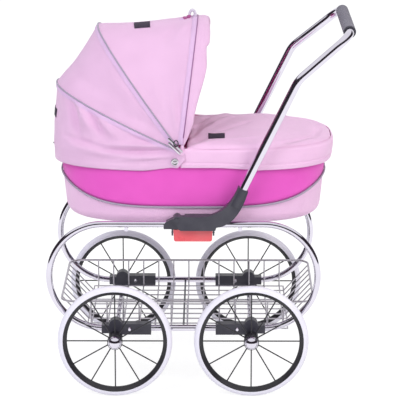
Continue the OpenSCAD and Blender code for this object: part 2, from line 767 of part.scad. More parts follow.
module cot_shell() {
    steps = 5;
    color(LIGHT_PINK) loft(concat(
        [for (i = [0:steps]) let (a = 90 * i / steps)
            cot_ring(base_z + cot_round * (1 - cos(a)), -cot_round * (1 - sin(a)))],
        [[for (a = outline_angles()) cot_point(a, pipe_height(a), 0)]],
        [[for (a = outline_angles()) cot_point(a, pipe_height(a), -cot_wall)]],
        [for (i = [steps:-1:0]) let (a = 90 * i / steps)
            cot_ring(base_z + cot_wall + (cot_round - cot_wall) * (1 - cos(a)),
                     -cot_wall - (cot_round - cot_wall) * (1 - sin(a)))]));
}

module cot_band() {
    color(HOT_PINK) loop([for (a = outline_angles()) let (z = pipe_height(a) + fit)
        [cot_point(a, z, 0), cot_point(a, z, -cot_wall),
         cot_point(a, rim_top_z, -cot_wall), cot_point(a, rim_top_z, 0)]]);
}

module cot_piping() {
    sides = 8;
    color(PIPING) loop([for (a = outline_angles())
        let (c = cot_point(a, pipe_height(a), pipe_d / 2 + 0.4),
             e = unit(c - cot_point(a, pipe_height(a), -20)))
        [for (k = [0:sides - 1]) let (b = -360 * k / sides)
            c + pipe_d / 2 * (cos(b) * e + sin(b) * [0, 0, 1])]]);
}

module cot_board() {
    color([0.72, 0.60, 0.45])
        loft([for (z = [board_z, board_z + board_t]) cot_ring(z, -cot_wall - cot_round)]);
}

module mattress() {
    edge = 5;
    out = -cot_wall - 6;
    color([0.95, 0.93, 0.95]) loft([
        cot_ring(mattress_z, out - edge), cot_ring(mattress_z + edge, out),
        cot_ring(mattress_z + mattress_t - edge, out), cot_ring(mattress_z + mattress_t, out - edge)]);
}

// Feet that straddle the rails under the cot
module cot_feet() {
    foot_x = 24;
    foot_y = 18;
    cheek = 8;               // how far a foot reaches down beside its rail
    foot_in = 46;            // from the side of the cot's base to a foot's middle
    color(DARK) for (end = [FRONT, REAR]) for (side = [LEFT, RIGHT])
        translate([end * rail_gap / 2, side * (cot_base_w / 2 - foot_in), 0]) difference() {
            translate([-foot_x / 2, -foot_y / 2, base_z - foot_t - cheek])
                cube([foot_x, foot_y, foot_t + cheek]);
            across(0, rail_z, -foot_y, foot_y, rail_d + 2 * clear);
            translate([-rail_d / 2 - clear, -foot_y, base_z - foot_t - 3 * cheek])
                cube([rail_d + 2 * clear, 2 * foot_y, 3 * cheek + rail_z - base_z + foot_t]);
        }
}

// ---- Apron ----

// Ring of the apron's outline at height z: the cot's outline behind x, closed by a straight front edge.
// side and over are how far it stands out at the cot's sides and end, and share shrinks it inwards.
function apron_ring(z, x, side, over, share) = let (
    h = cot_half(rim_top_z), length = h[0] + over, width = h[1] + side, n = outline_n / 2,
    a0 = acos(spow((x - cot_x) / length, cot_square / 2)), mid = (x + cot_x) / 2)
    [for (i = [0:n]) let (a = lerp(-a0, a0, i / n),
                          px = length * spow(cos(a), 2 / cot_square),
                          py = width * spow(sin(a), 2 / cot_square))
        [lerp(mid, cot_x + px, share), py * share, z]];

module apron() {
    cover = [[hem_z, skirt_t - 1.6, apron_over - 5, 1], [hem_z + skirt_h * 0.4, skirt_t, apron_over, 1],
             [seam_z - 4, skirt_t - 0.6, apron_over - 1, 1], [seam_z + 1, skirt_t - 4, apron_over - 6, 1],
             [seam_z + pad_crown * 0.6, -4, -6, 0.9], [seam_z + pad_crown, -6, -10, 0.6]];
    color(LIGHT_PINK) difference() {
        loft([for (p = cover) apron_ring(p[0], apron_x, p[1], p[2], p[3])]);
        loft([for (z = [hem_z - 1, rim_top_z + clear]) apron_ring(z, apron_x - 2, skirt_gap, skirt_gap, 1)]);
    }
}

// ---- Hood ----

// A point on a bow's arch: phi 0 at its crown and +-90 at its hinges
function arch(r, y, phi) = [r * pow(max(cos(phi), 0), arch_p), y * spow(sin(phi), arch_q)];

// The same point in the pram's frame, for a bow at angle a. shift moves it forward, square to the bow
function hood_point(r, y, a, phi, shift) = let (p = arch(r, y, phi))
    [hood_x + p[0] * cos(a) + shift * sin(a), p[1], hinge_z + p[0] * sin(a) - shift * cos(a)];

// Hinge height and width of bow i: 0 rear, 1 middle, 2 front
function bow_half(i) = bow_y + i * (bow_t + bow_gap) + bow_t / 2 + (i == 2 ? bow_spacer : 0);

// One edge of a bow's strip: straight legs that leave the eyes, joined by the arch
function bow_edge(r, y, off) = let (leg = [for (d = [eye_r + 1.5, hood_pin_d / 2 + 0.7]) [d, y + off]])
    concat([for (i = [1, 0]) [leg[i][0], -leg[i][1]]],
           [for (k = [-arch_n:arch_n]) arch(r + off, y + off, leg_end * k / arch_n)], leg);

module hood_bow(i, r, a) {
    y = bow_half(i);
    half = bow_t / 2 - fit;
    inner = bow_edge(r, y, -half);
    color(CHROME) translate([hood_x, 0, hinge_z]) difference() {
        union() {
            rotate([0, -a, 0]) translate([0, 0, -bow_w / 2]) linear_extrude(bow_w)
                polygon(concat(bow_edge(r, y, half), [for (k = [len(inner) - 1:-1:0]) inner[k]]));
            for (side = [LEFT, RIGHT])
                across(0, 0, side * (y - bow_t / 2), side * (y + bow_t / 2), 2 * eye_r);
        }
        across(0, 0, -2 * y, 2 * y, hood_pin_d + 2 * run);
    }
}

function fabric_angles() = [for (k = [-arch_n:arch_n]) arch_end * k / arch_n];

// A thin solid between two grids of points with the same layout
module sheet_solid(out, in) {
    loft([for (k = [0:len(out[0]) - 1])
        concat([for (row = out) row[k]], [for (j = [len(in) - 1:-1:0]) in[j][k]])]);
}

// Fabric between two bows, outside them; sag is how far its middle drops inwards
module hood_panel(r0, y0, a0, r1, y1, a1, sag, rows) {
    function row(j, out) = let (t = j / rows, shift = j == 0 ? clear : j == rows ? -clear : 0)
        [for (phi = fabric_angles()) let (s = sag * pow(sin(180 * t), sag_p) * pow(cos(phi), arch_p))
            hood_point(lerp(r0, r1, t) + panel_lift + out - s,
                       lerp(y0, y1, t) + panel_lift + clear + out - s * 0.3,
                       lerp(a0, a1, t), phi, shift)];
    color(LIGHT_PINK) sheet_solid([for (j = [0:rows]) row(j, fabric_t)], [for (j = [0:rows]) row(j, 0)]);
}

module hood_rear_panel() {
    hood_panel(rear_bow_r, bow_half(0), rear_bow_a, mid_bow_r, bow_half(1), mid_bow_a, rear_sag, 6);
}

module hood_front_panel() {
    hood_panel(mid_bow_r, bow_half(1), mid_bow_a, front_bow_r, bow_half(2), front_bow_a, front_sag, 8);
}

module hood_brim() {
    rows = 4;
    function row(t, out) = [for (phi = fabric_angles())
        hood_point(front_bow_r + panel_lift + out - brim_dip * pow(t, brim_turn),
                   bow_half(2) + panel_lift + out, front_bow_a, phi,
                   clear + brim_w * t * pow(cos(phi), 0.45))];
    color(LIGHT_PINK)
        sheet_solid([for (j = [0:rows]) row(j / rows, fabric_t)], [for (j = [0:rows]) row(j / rows, 0)]);
}

// The hood's skirt: from the rear bow over the cot's rim to the hem round its front end
module hood_skirt() {
    rows = 3;
    last = 2 * arch_n;
    function top_edge(k, out, shift) =
        hood_point(rear_bow_r + panel_lift + out, bow_half(0) + panel_lift + out, rear_bow_a,
                   arch_end * (k / arch_n - 1), shift);
    function rim_edge(k, z, out) = let (a = lerp(-92, -268, k / last))
        cot_point(a, z, skirt_gap + out + skirt_flare * pow(cos(a), 4));
    function column(k, out) =
        let (p = top_edge(k, out, -bow_w / 2 - clear), q = rim_edge(k, rim_top_z + 1, out))
        concat([rim_edge(k, hem_z, out)], [for (j = [0:rows]) lerp(q, p, j / rows)],
               [top_edge(k, out, -clear)]);
    out = [for (k = [0:last]) column(k, fabric_t)];
    in = [for (k = [0:last]) column(k, 0)];
    color(LIGHT_PINK) loft([for (k = [0:last])
        concat(out[k], [for (j = [len(in[k]) - 1:-1:0]) in[k][j]])]);
}

// Press studs that hold the skirt to the cot beside the hinges
module hood_snaps() {
    y = max(cot_half(rim_top_z)[1], cot_half(hem_z)[1]) + skirt_gap + fabric_t + clear;
    color(CHROME) for (side = [LEFT, RIGHT]) {
        across(hood_x - snap_back, rim_top_z - snap_down, side * y, side * (y + 1.2), snap_d);
        across(hood_x - snap_back, rim_top_z - snap_down, side * (y + 1.2), side * (y + 2), snap_d - 4);
    }
}

module hood_pins() {
    plate_drop = 16;
    plate_y = min(cot_half(rim_top_z)[1], cot_half(rim_top_z - plate_drop)[1]) - cot_wall - 2 * clear;
    color(CHROME) for (side = [LEFT, RIGHT]) {
        across(hood_x, hinge_z, side * (plate_y - 2), side * rivet_y, hood_pin_d);
        across(hood_x, hinge_z, side * rivet_y, side * (rivet_y + 1.6), hood_pin_d + 4);
        // The plate that carries the pin, fixed inside the cot's rim
        side_plate(side, plate_y - 3, plate_y)
            translate([hood_x - 8, rim_top_z - plate_drop]) square([15, hood_lift + plate_drop + 7]);
    }
}

// ---- The assembly ----

for (s = SIDES) {
    side_hoop(s[1]);
    basket_side(s[1]);
    arm_bracket(s[1]);
    handle_arm(s[1]);
    release_latch(s[1]);
}
for (e = ENDS) {
    axle(e[1]);
    basket_end(e[1]);
}
for (w = WHEELS) {
    wheel_bracket(w[1], w[2]);
    tyre(w[1], w[2]);
    rim(w[1], w[2]);
    spoked_hub(w[1], w[2]);
    hub_cap(w[1], w[2]);
}
bracket_screws();
tie_rod();
cot_rails();
basket_floor();
arm_pins();
latch_pins();
latch_springs();
handle_tube();
handle_grip();
grip_rings();
cot_shell();
cot_band();
cot_piping();
cot_board();
mattress();
cot_feet();
apron();
hood_pins();
hood_bow(0, rear_bow_r, rear_bow_a);  // hood_rear_bow
hood_bow(1, mid_bow_r, mid_bow_a);  // hood_mid_bow
hood_bow(2, front_bow_r, front_bow_a);  // hood_front_bow
hood_skirt();
hood_rear_panel();
hood_front_panel();
hood_brim();
hood_snaps();
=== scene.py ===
import bisect
import json
import math

import bmesh
import bpy
from mathutils import Matrix, Vector, noise
from mathutils.bvhtree import BVHTree


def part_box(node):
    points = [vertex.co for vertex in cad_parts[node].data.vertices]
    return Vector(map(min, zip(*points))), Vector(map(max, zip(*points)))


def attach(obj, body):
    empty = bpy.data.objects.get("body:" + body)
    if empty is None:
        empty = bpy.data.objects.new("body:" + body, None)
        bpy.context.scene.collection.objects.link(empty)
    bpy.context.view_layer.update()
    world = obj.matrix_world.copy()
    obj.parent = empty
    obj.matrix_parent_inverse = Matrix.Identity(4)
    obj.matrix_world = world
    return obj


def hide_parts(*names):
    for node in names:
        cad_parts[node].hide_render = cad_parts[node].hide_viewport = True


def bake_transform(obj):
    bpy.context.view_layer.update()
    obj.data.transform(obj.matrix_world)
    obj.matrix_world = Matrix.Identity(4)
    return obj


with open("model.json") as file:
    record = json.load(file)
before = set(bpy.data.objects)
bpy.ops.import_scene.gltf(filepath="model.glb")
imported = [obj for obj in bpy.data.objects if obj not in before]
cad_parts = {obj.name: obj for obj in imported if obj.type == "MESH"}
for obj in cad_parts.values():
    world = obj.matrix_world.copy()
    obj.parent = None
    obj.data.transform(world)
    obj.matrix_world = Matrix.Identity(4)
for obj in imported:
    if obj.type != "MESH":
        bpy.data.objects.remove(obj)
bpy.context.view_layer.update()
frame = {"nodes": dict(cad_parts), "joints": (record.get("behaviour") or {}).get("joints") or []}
nodes = frame["nodes"]
scene = bpy.context.scene


# Small sums used all through

def lerp(a, b, t):
    return a + (b - a) * t


def ease(t):
    t = min(max(t, 0.0), 1.0)
    return t * t * (3 - 2 * t)


def signedPower(value, exponent):
    return math.copysign(abs(value) ** exponent, value)


def bump(x, centre, width):
    return math.exp(-((x - centre) / width) ** 2)


def srgb(*parts):
    # A screen colour, in parts of 255, as the linear values that a shader takes
    return tuple(((c / 255 + 0.055) / 1.055) ** 2.4 if c > 10 else c / 255 / 12.92 for c in parts)


def lengthOf(points):
    return sum((b - a).length for a, b in zip(points, points[1:]))


def nearestOn(q, start, finish):
    # How far q is from the line start-finish, and how far along it, from 0 to 1
    a, b = Vector(start), Vector(finish)
    along = min(max((q - a).dot(b - a) / (b - a).length_squared, 0.0), 1.0)
    return (q - a.lerp(b, along)).length, along


# Shader nodes

def feed(tree, socket, value):
    # Links a socket, or sets a plain colour or number
    if isinstance(value, bpy.types.NodeSocket):
        tree.links.new(value, socket)
    elif isinstance(value, tuple):
        socket.default_value = (*value, 1.0)
    elif value is not None:
        socket.default_value = value


def mathNode(tree, operation, first, second=None):
    node = tree.nodes.new("ShaderNodeMath")
    node.operation = operation
    feed(tree, node.inputs[0], first)
    feed(tree, node.inputs[1], second)
    return node.outputs[0]


def noiseNode(tree, vector, scale, detail=2.0):
    node = tree.nodes.new("ShaderNodeTexNoise")
    for label, value in (("Vector", vector), ("Scale", scale), ("Detail", detail)):
        feed(tree, node.inputs[label], value)
    return node.outputs["Fac"]


def ramp(tree, value, lowOut=0.0, highOut=1.0, low=0.3, high=0.7):
    node = tree.nodes.new("ShaderNodeMapRange")
    for label, number in (("Value", value), ("From Min", low), ("From Max", high),
                          ("To Min", lowOut), ("To Max", highOut)):
        feed(tree, node.inputs[label], number)
    return node.outputs["Result"]


def mixColours(tree, factor, first, second):
    mix = tree.nodes.new("ShaderNodeMix")
    mix.data_type = "RGBA"
    for label, value in (("Factor", factor), ("A", first), ("B", second)):
        feed(tree, mix.inputs[label], value)
    return mix.outputs["Result"]


def mixShaders(tree, factor, first, second):
    mix = tree.nodes.new("ShaderNodeMixShader")
    for socket, value in zip(mix.inputs, (factor, first, second)):
        tree.links.new(value, socket)
    return mix.outputs[0]


def mirroredRays(tree, path):
    return mathNode(tree, "MAXIMUM", path.outputs["Is Glossy Ray"], path.outputs["Is Transmission Ray"])


def newGroup(name, inputs, outputs):
    group = bpy.data.node_groups.new(name, "ShaderNodeTree")
    for label, kind, value in inputs:
        socket = group.interface.new_socket(label, in_out="INPUT", socket_type="NodeSocket" + kind)
        if value is not None:
            socket.default_value = value
    for label, kind in outputs:
        group.interface.new_socket(label, in_out="OUTPUT", socket_type="NodeSocket" + kind)
    return group, group.nodes.new("NodeGroupInput"), group.nodes.new("NodeGroupOutput")


def buildWeave():
    # Plain weave: two sets of round threads that pass over and under each other, with uneven yarn, and a
    # share that is high in the low spots between the threads, for painted shade there
    group, inside, outside = newGroup(
        "plainWeave",
        [("Vector", "Vector", None), ("Pitch", "Float", 0.001), ("Slub", "Float", 0.3)],
        [("Height", "Float"), ("Gap", "Float")])
    threads = group.nodes.new("ShaderNodeVectorMath")
    threads.operation = "SCALE"
    feed(group, threads.inputs[0], inside.outputs["Vector"])
    feed(group, threads.inputs["Scale"], mathNode(group, "DIVIDE", math.pi, inside.outputs["Pitch"]))
    split = group.nodes.new("ShaderNodeSeparateXYZ")
    feed(group, split.inputs[0], threads.outputs[0])
    warp = mathNode(group, "SINE", split.outputs["X"])
    weft = mathNode(group, "SINE", split.outputs["Y"])
    over = mathNode(group, "GREATER_THAN", mathNode(group, "MULTIPLY", warp, weft), 0.0)
    under = mathNode(group, "SUBTRACT", 1.0, over)
    top = mathNode(group, "ADD", mathNode(group, "MULTIPLY", mathNode(group, "ABSOLUTE", warp), over),
                   mathNode(group, "MULTIPLY", mathNode(group, "ABSOLUTE", weft), under))
    slub = mathNode(group, "MULTIPLY", noiseNode(group, threads.outputs[0], 0.35), inside.outputs["Slub"])
    feed(group, outside.inputs["Height"], mathNode(group, "ADD", top, slub))
    feed(group, outside.inputs["Gap"], mathNode(group, "POWER", mathNode(group, "SUBTRACT", 1.0, top), 2.0))
    return group


def buildGrain():
    # Fine moulded or foamed skin: small pits over a slow unevenness
    group, inside, outside = newGroup(
        "mouldedGrain",
        [("Vector", "Vector", None), ("Grain", "Float", 1500.0), ("Patch", "Float", 25.0)],
        [("Height", "Float"), ("Patchy", "Float")])
    for size, result in (("Grain", "Height"), ("Patch", "Patchy")):
        feed(group, outside.inputs[result],
             noiseNode(group, inside.outputs["Vector"], inside.outputs[size], 3.0))
    return group


weaveGroup = buildWeave()
grainGroup = buildGrain()


# Finishes

def newFinish(name):
    finish = bpy.data.materials.new(name)
    finish.use_nodes = True
    tree = finish.node_tree
    return finish, tree, tree.nodes["Principled BSDF"]


def setShader(tree, shader, values):
    for label, value in values.items():
        feed(tree, shader.inputs[label], value)


def addBump(tree, shader, height, distance):
    node = tree.nodes.new("ShaderNodeBump")
    node.inputs["Distance"].default_value = distance
    tree.links.new(height, node.inputs["Height"])
    tree.links.new(node.outputs["Normal"], shader.inputs["Normal"])


def objectPlace(tree):
    return tree.nodes.new("ShaderNodeTexCoord").outputs["Object"]


def fabric(name, thread, gapShade, pitch=0.0009, depth=0.00012, sheen=0.25, cut=True):
    # Woven cloth. It follows the cut pattern's own map, or the object's place where there is none. Its colour
    # is painted darker in the weave's low spots, as shade.
    finish, tree, shader = newFinish(name)
    place = objectPlace(tree)
    weave = tree.nodes.new("ShaderNodeGroup")
    weave.node_tree = weaveGroup
    weave.inputs["Pitch"].default_value = pitch
    if cut:
        pattern = tree.nodes.new("ShaderNodeUVMap")
        pattern.uv_map = "cut"
        tree.links.new(pattern.outputs["UV"], weave.inputs["Vector"])
    else:
        tree.links.new(place, weave.inputs["Vector"])
    faded = tuple(min(1.0, c * 1.05 + 0.012) for c in thread)
    body = mixColours(tree, ramp(tree, noiseNode(tree, place, 22.0, 4.0)), thread, faded)
    setShader(tree, shader, {
        # painted shade: the colour turns to the darker second colour in the low spots between the threads
        "Base Color": mixColours(tree, weave.outputs["Gap"], body, gapShade),
        "Roughness": ramp(tree, noiseNode(tree, place, 60.0), 0.76, 0.88),
        "Sheen Weight": sheen, "Sheen Roughness": 0.45, "Specular IOR Level": 0.25})
    addBump(tree, shader, weave.outputs["Height"], depth)
    return finish


def moulded(name, colour, roughness, grain=1500.0, depth=0.00008, shift=0.05, clear=0.0):
    # Moulded plastic, rubber, foam or paint: grain, and a slow change of tone and gloss
    finish, tree, shader = newFinish(name)
    skin = tree.nodes.new("ShaderNodeGroup")
    skin.node_tree = grainGroup
    skin.inputs["Grain"].default_value = grain
    tree.links.new(objectPlace(tree), skin.inputs["Vector"])
    patch = skin.outputs["Patchy"]
    paler = tuple(c + (1 - c) * shift for c in colour)
    setShader(tree, shader, {
        "Base Color": mixColours(tree, ramp(tree, patch), colour, paler),
        "Roughness": ramp(tree, patch, roughness - 0.05, roughness + 0.06),
        "Coat Weight": clear, "Coat Roughness": 0.15})
    addBump(tree, shader, skin.outputs["Height"], depth)
    return finish


def metal(name, colour, roughness):
    # Plated or bright metal, with faint smears that change its gloss
    finish, tree, shader = newFinish(name)
    place = objectPlace(tree)
    smear = ramp(tree, noiseNode(tree, place, 35.0, 4.0), low=0.35, high=0.75)
    duller = tuple(c * 0.93 for c in colour)
    setShader(tree, shader, {
        "Base Color": mixColours(tree, smear, colour, duller), "Metallic": 1.0,
        "Roughness": ramp(tree, noiseNode(tree, place, 90.0, 3.0), roughness, roughness + 0.05)})
    return finish


def cordFinish(name, bright, dark):
    # Reflective piping: a glossy covered cord with a fine diagonal wrap
    finish, tree, shader = newFinish(name)
    place = objectPlace(tree)
    wave = tree.nodes.new("ShaderNodeTexWave")
    wave.wave_type = "BANDS"
    wave.bands_direction = "DIAGONAL"
    wave.inputs["Scale"].default_value = 260.0
    tree.links.new(place, wave.inputs["Vector"])
    setShader(tree, shader, {
        "Base Color": mixColours(tree, wave.outputs["Fac"], dark, bright), "Metallic": 0.25,
        "Roughness": ramp(tree, noiseNode(tree, place, 50.0), 0.3, 0.45)})
    addBump(tree, shader, wave.outputs["Fac"], 0.0001)
    return finish


def board(name, colour, dark):
    # Stiff board with streaks along its length
    finish, tree, shader = newFinish(name)
    stretch = tree.nodes.new("ShaderNodeMapping")
    stretch.inputs["Scale"].default_value = (4.0, 60.0, 60.0)
    tree.links.new(objectPlace(tree), stretch.inputs["Vector"])
    streak = noiseNode(tree, stretch.outputs["Vector"], 3.0, 6.0)
    setShader(tree, shader, {
        "Base Color": mixColours(tree, ramp(tree, streak, low=0.35, high=0.65), colour, dark),
        "Roughness": ramp(tree, streak, 0.6, 0.8)})
    addBump(tree, shader, streak, 0.0002)
    return finish


lightPink = fabric("lightPinkCloth", srgb(240, 200, 232), srgb(205, 150, 196))
lightPinkPad = fabric("lightPinkPadCloth", srgb(240, 200, 232), srgb(205, 150, 196), cut=False)
# painted shade: the hood's cloth is a darker copy of the light pink, in place of the shade the hood takes
shadedHoodPink = fabric("shadedHoodPinkCloth", srgb(228, 190, 222), srgb(196, 142, 187))
# painted shade: a dark cloth for the cot's underside, for the shade under the cot
undersideShadeCloth = fabric("darkUndersideShadeCloth", srgb(70, 58, 84), srgb(40, 32, 50), sheen=0.05)
# painted shade: a lavender tint for the band over each bow's tunnel, for the shade seen along it
tunnelShadeTint = fabric("tunnelShadeTintCloth", srgb(224, 190, 227), srgb(190, 145, 193))
hotPink = fabric("hotPinkCloth", srgb(234, 96, 202), srgb(190, 50, 150))
lining = fabric("hotPinkLining", srgb(226, 88, 176), srgb(176, 48, 124), sheen=0.1)
hotPinkPad = fabric("hotPinkPadCloth", srgb(204, 104, 172), srgb(160, 60, 130), cut=False)
mattressCloth = fabric("mattressCloth", srgb(244, 232, 242), srgb(214, 196, 212), pitch=0.0012, cut=False)
tagCloth = fabric("darkTagCloth", srgb(58, 46, 66), srgb(30, 24, 36), 0.0006, 0.00006, sheen=0.05)
# partly painted shade: a dark mauve for the front seam's binding, which also stands in for the shade in the
# seam's groove
seamBindingAndShadeCloth = fabric("mauveSeamAndShadeCloth", srgb(158, 112, 156), srgb(120, 78, 118), pitch=0.0006, cut=False)
# painted shade: dark mauve for the pinched cloth under the crown loop, for the shaded pocket there
pinchShadeCloth = fabric("mauvePinchShadeCloth", srgb(176, 92, 150), srgb(120, 50, 100), pitch=0.0006, cut=False)
foldCloth = fabric("lavenderFoldCloth", srgb(222, 186, 226), srgb(186, 142, 190), cut=False)
loopCloth = fabric("silverLoopCloth", srgb(214, 206, 222), srgb(160, 148, 172), pitch=0.0006, cut=False)
threadFinish = moulded("paleThread", srgb(236, 206, 230), 0.7, grain=3000.0)
pipingFinish = cordFinish("silverPiping", srgb(200, 188, 208), srgb(132, 120, 144))
chrome = metal("chromePlate", srgb(222, 218, 230), 0.04)
wire = metal("basketWire", srgb(206, 202, 210), 0.42)
nickel = metal("nickelTrim", srgb(218, 214, 222), 0.24)
darkSteel = metal("darkSteel", srgb(84, 84, 92), 0.3)
darkPlastic = moulded("darkPlastic", srgb(48, 46, 60), 0.42, grain=1800.0, shift=0.03, clear=0.05)
rimPaint = moulded("blackRimPaint", srgb(24, 22, 30), 0.45, 700.0, 0.00003, shift=0.02, clear=0.05)
tyreRubber = moulded("whiteTyreRubber", srgb(228, 225, 238), 0.5, grain=900.0, shift=0.1)
latchPlastic = moulded("redLatchPlastic", srgb(222, 78, 88), 0.32, 1200.0, 0.00004, clear=0.3)
foam = moulded("greyFoam", srgb(112, 108, 122), 0.85, grain=700.0, depth=0.0005, shift=0.08)
cotBoard = board("cotBoard", srgb(196, 172, 140), srgb(160, 132, 100))

slotFinishes = {
    "chrome": chrome, "dark_metal": darkSteel, "dark_plastic": darkPlastic, "rim_black": rimPaint,
    "tyre_white": tyreRubber, "light_pink": lightPink, "hot_pink": hotPink, "piping": pipingFinish,
    "latch_red": latchPlastic, "foam": foam, "board": cotBoard, "mattress": mattressCloth}
nodeFinishes = {   # nodes that look otherwise than their slot
    "hood_pins": lightPinkPad, "hood_front_bow": lightPinkPad, "hood_mid_bow": hotPinkPad,
    "hood_rear_bow": hotPinkPad, "arm_pins": darkSteel, "basket_floor": wire, "basket_side_left": wire,
    "basket_side_right": wire, "basket_end_front": wire, "basket_end_rear": wire}
for name, node in nodes.items():
    for slot in node.material_slots:
        slot.material = nodeFinishes.get(name) or slotFinishes[slot.material.name]
print("finishes made:", len(bpy.data.materials))


# Building with bmesh

def pieceFrom(mesh, name, finishes, body=None, node=None):
    for face in mesh.faces:
        face.smooth = True
    data = bpy.data.meshes.new(name)
    mesh.to_mesh(data)
    mesh.free()
    for finish in finishes:
        data.materials.append(finish)
    piece = bpy.data.objects.new(name, data)
    scene.collection.objects.link(piece)
    if body:
        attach(piece, body)
    if node:
        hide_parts(node)
    return piece


def faceAwayFrom(mesh, middle):
    outward = sum((f.calc_center_median() - middle).dot(f.normal) * f.calc_area() for f in mesh.faces)
    if outward < 0:
        bmesh.ops.reverse_faces(mesh, faces=mesh.faces)


def sheetMesh(look, place, middle, joined=False):
    # A grid of cloth put in place by place(u, v), with its cut pattern in metres as its map
    columns, rows = look["columns"], look["rows"]
    mesh = bmesh.new()
    bmesh.ops.create_grid(mesh, x_segments=columns, y_segments=rows, size=0.5)
    share = {vert: (vert.co.x + 0.5, vert.co.y + 0.5) for vert in mesh.verts}
    width = lengthOf([place(k / columns, 0.5) for k in range(columns + 1)])
    length = lengthOf([place(0.5, k / rows) for k in range(rows + 1)])
    pattern = mesh.loops.layers.uv.new("cut")
    for face in mesh.faces:
        for loop in face.loops:
            u, v = share[loop.vert]
            loop[pattern].uv = (u * width, v * length)
    for vert, (u, v) in share.items():
        vert.co = place(min(max(u, 0.0), 1.0), min(max(v, 0.0), 1.0))
    if joined:
        bmesh.ops.remove_doubles(mesh, verts=mesh.verts, dist=1e-5)
    mesh.normal_update()
    faceAwayFrom(mesh, middle)
    return mesh


def addWall(piece, thickness, lined=False):
    wall = piece.modifiers.new("wall", "SOLIDIFY")
    wall.thickness = thickness
    wall.offset = -1.0
    wall.material_offset = 1 if lined else 0


def declareSheet(piece, restsOn):
    mesh = piece.data
    cut = [loop.uv for loop in mesh.uv_layers["cut"].data]


def raised(base, relief, sign=1.0):
    # The surface base(u, v) moved out along its normal by relief(u, v, point); sign is -1 where u cross v
    # points inwards
    step = 0.003

    def place(u, v):
        here = base(u, v)
        alongU = base(min(u + step, 1.0), v) - base(max(u - step, 0.0), v)
        alongV = base(u, min(v + step, 1.0)) - base(u, max(v - step, 0.0))
        normal = alongU.cross(alongV)
        if normal.length < 1e-12:
            return here
        return here + normal.normalized() * (sign * relief(u, v, here))

    return place


def tubeMesh(points, radius, sides=12, closed=False):
    # A round tube: a circle carried along the points by extrusion
    mesh = bmesh.new()
    count = len(points)
    headings = []
    for i in range(count):
        before = points[i - 1] if closed or i > 0 else points[0]
        after = points[(i + 1) % count] if closed or i < count - 1 else points[-1]
        headings.append((after - before).normalized())
    start = Matrix.Translation(points[0]) @ headings[0].to_track_quat("Z", "Y").to_matrix().to_4x4()
    bmesh.ops.create_circle(mesh, cap_ends=False, radius=radius, segments=sides, matrix=start)
    first = mesh.edges[:]
    edges = first
    for i in range(1, count):
        made = bmesh.ops.extrude_edge_only(mesh, edges=edges)["geom"]
        verts = [g for g in made if isinstance(g, bmesh.types.BMVert)]
        edges = [g for g in made if isinstance(g, bmesh.types.BMEdge) and all(v in verts for v in g.verts)]
        swing = headings[i - 1].rotation_difference(headings[i]).to_matrix().to_4x4()
        bmesh.ops.transform(mesh, verts=verts, matrix=Matrix.Translation(points[i]) @ swing
                            @ Matrix.Translation(-points[i - 1]))
    if closed:
        bmesh.ops.bridge_loops(mesh, edges=first + edges)
    else:
        for loop in (first, edges):
            bmesh.ops.edgeloop_fill(mesh, edges=loop)
            for edge in loop:
                edge.smooth = False
    bmesh.ops.recalc_face_normals(mesh, faces=mesh.faces)
    return mesh


def roundBall(mesh, place, size, tilt=0.0, across=20, up=12):
    # A ball of these three half sizes, tilted about the hood's cross line
    matrix = Matrix.Translation(place) @ Matrix.Rotation(tilt, 4, "Y") @ Matrix.Diagonal((*size, 1.0))
    bmesh.ops.create_uvsphere(mesh, u_segments=across, v_segments=up, radius=1.0, matrix=matrix)


def ringOf(middle, wide, tall, count):
    # Points round an upright oval that is seen from the side
    return [middle + Vector((wide * math.cos(2 * math.pi * k / count), 0.0,
                             tall * math.sin(2 * math.pi * k / count))) for k in range(count)]


def roundedPath(corners, radii, steps=12):
    # The polyline with its inner corners rounded
    path = [corners[0]]
    for before, corner, after, radius in zip(corners, corners[1:], corners[2:], radii):
        toBefore, toAfter = (before - corner).normalized(), (after - corner).normalized()
        half = toBefore.angle(toAfter) / 2
        start = corner + toBefore * radius / math.tan(half)
        centre = corner + (toBefore + toAfter).normalized() * radius / math.sin(half)
        axis = toAfter.cross(toBefore).normalized()
        sweep = math.pi - 2 * half
        for k in range(steps + 1):
            path.append(centre + Matrix.Rotation(sweep * k / steps, 3, axis) @ (start - centre))
    path.append(corners[-1])
    return path


def evenly(points, spacing):
    # Points and headings at a steady spacing along a polyline
    found, carried = [], spacing / 2
    for a, b in zip(points, points[1:]):
        span = (b - a).length
        while carried < span:
            found.append((a + (b - a) * (carried / span), (b - a).normalized()))
            carried += spacing
        carried -= span
    return found


stitchLook = {"long": 0.0022, "thick": 0.0007, "spacing": 0.0036}


def stitchMesh(points, away):
    # A row of raised stitches; away(point) is the cloth's outward direction there
    mesh = bmesh.new()
    long, thick = stitchLook["long"], stitchLook["thick"]
    size = Matrix.Diagonal((long / 2, thick / 2, thick / 2, 1.0))
    for point, heading in evenly(points, stitchLook["spacing"]):
        across = away(point).cross(heading).normalized()
        up = heading.cross(across).normalized()
        turn = Matrix((heading, across, up)).transposed().to_4x4()
        bmesh.ops.create_uvsphere(mesh, u_segments=6, v_segments=4, radius=1.0,
                                  matrix=Matrix.Translation(point) @ turn @ size)
    return mesh


# Camera, light and stage

def buildCamera():
    shot = {"place": (0.053, -4.0082, 1.3533), "down": 14.392, "left": 0.329, "lens": 194.89, "sensor": 36.0}
    data = bpy.data.cameras.new("camera")
    data.lens = shot["lens"]
    data.sensor_width = shot["sensor"]
    data.clip_end = 40.0
    camera = bpy.data.objects.new("camera", data)
    camera.location = shot["place"]
    camera.rotation_euler = (math.radians(90 - shot["down"]), 0.0, math.radians(shot["left"]))
    scene.collection.objects.link(camera)
    scene.camera = camera


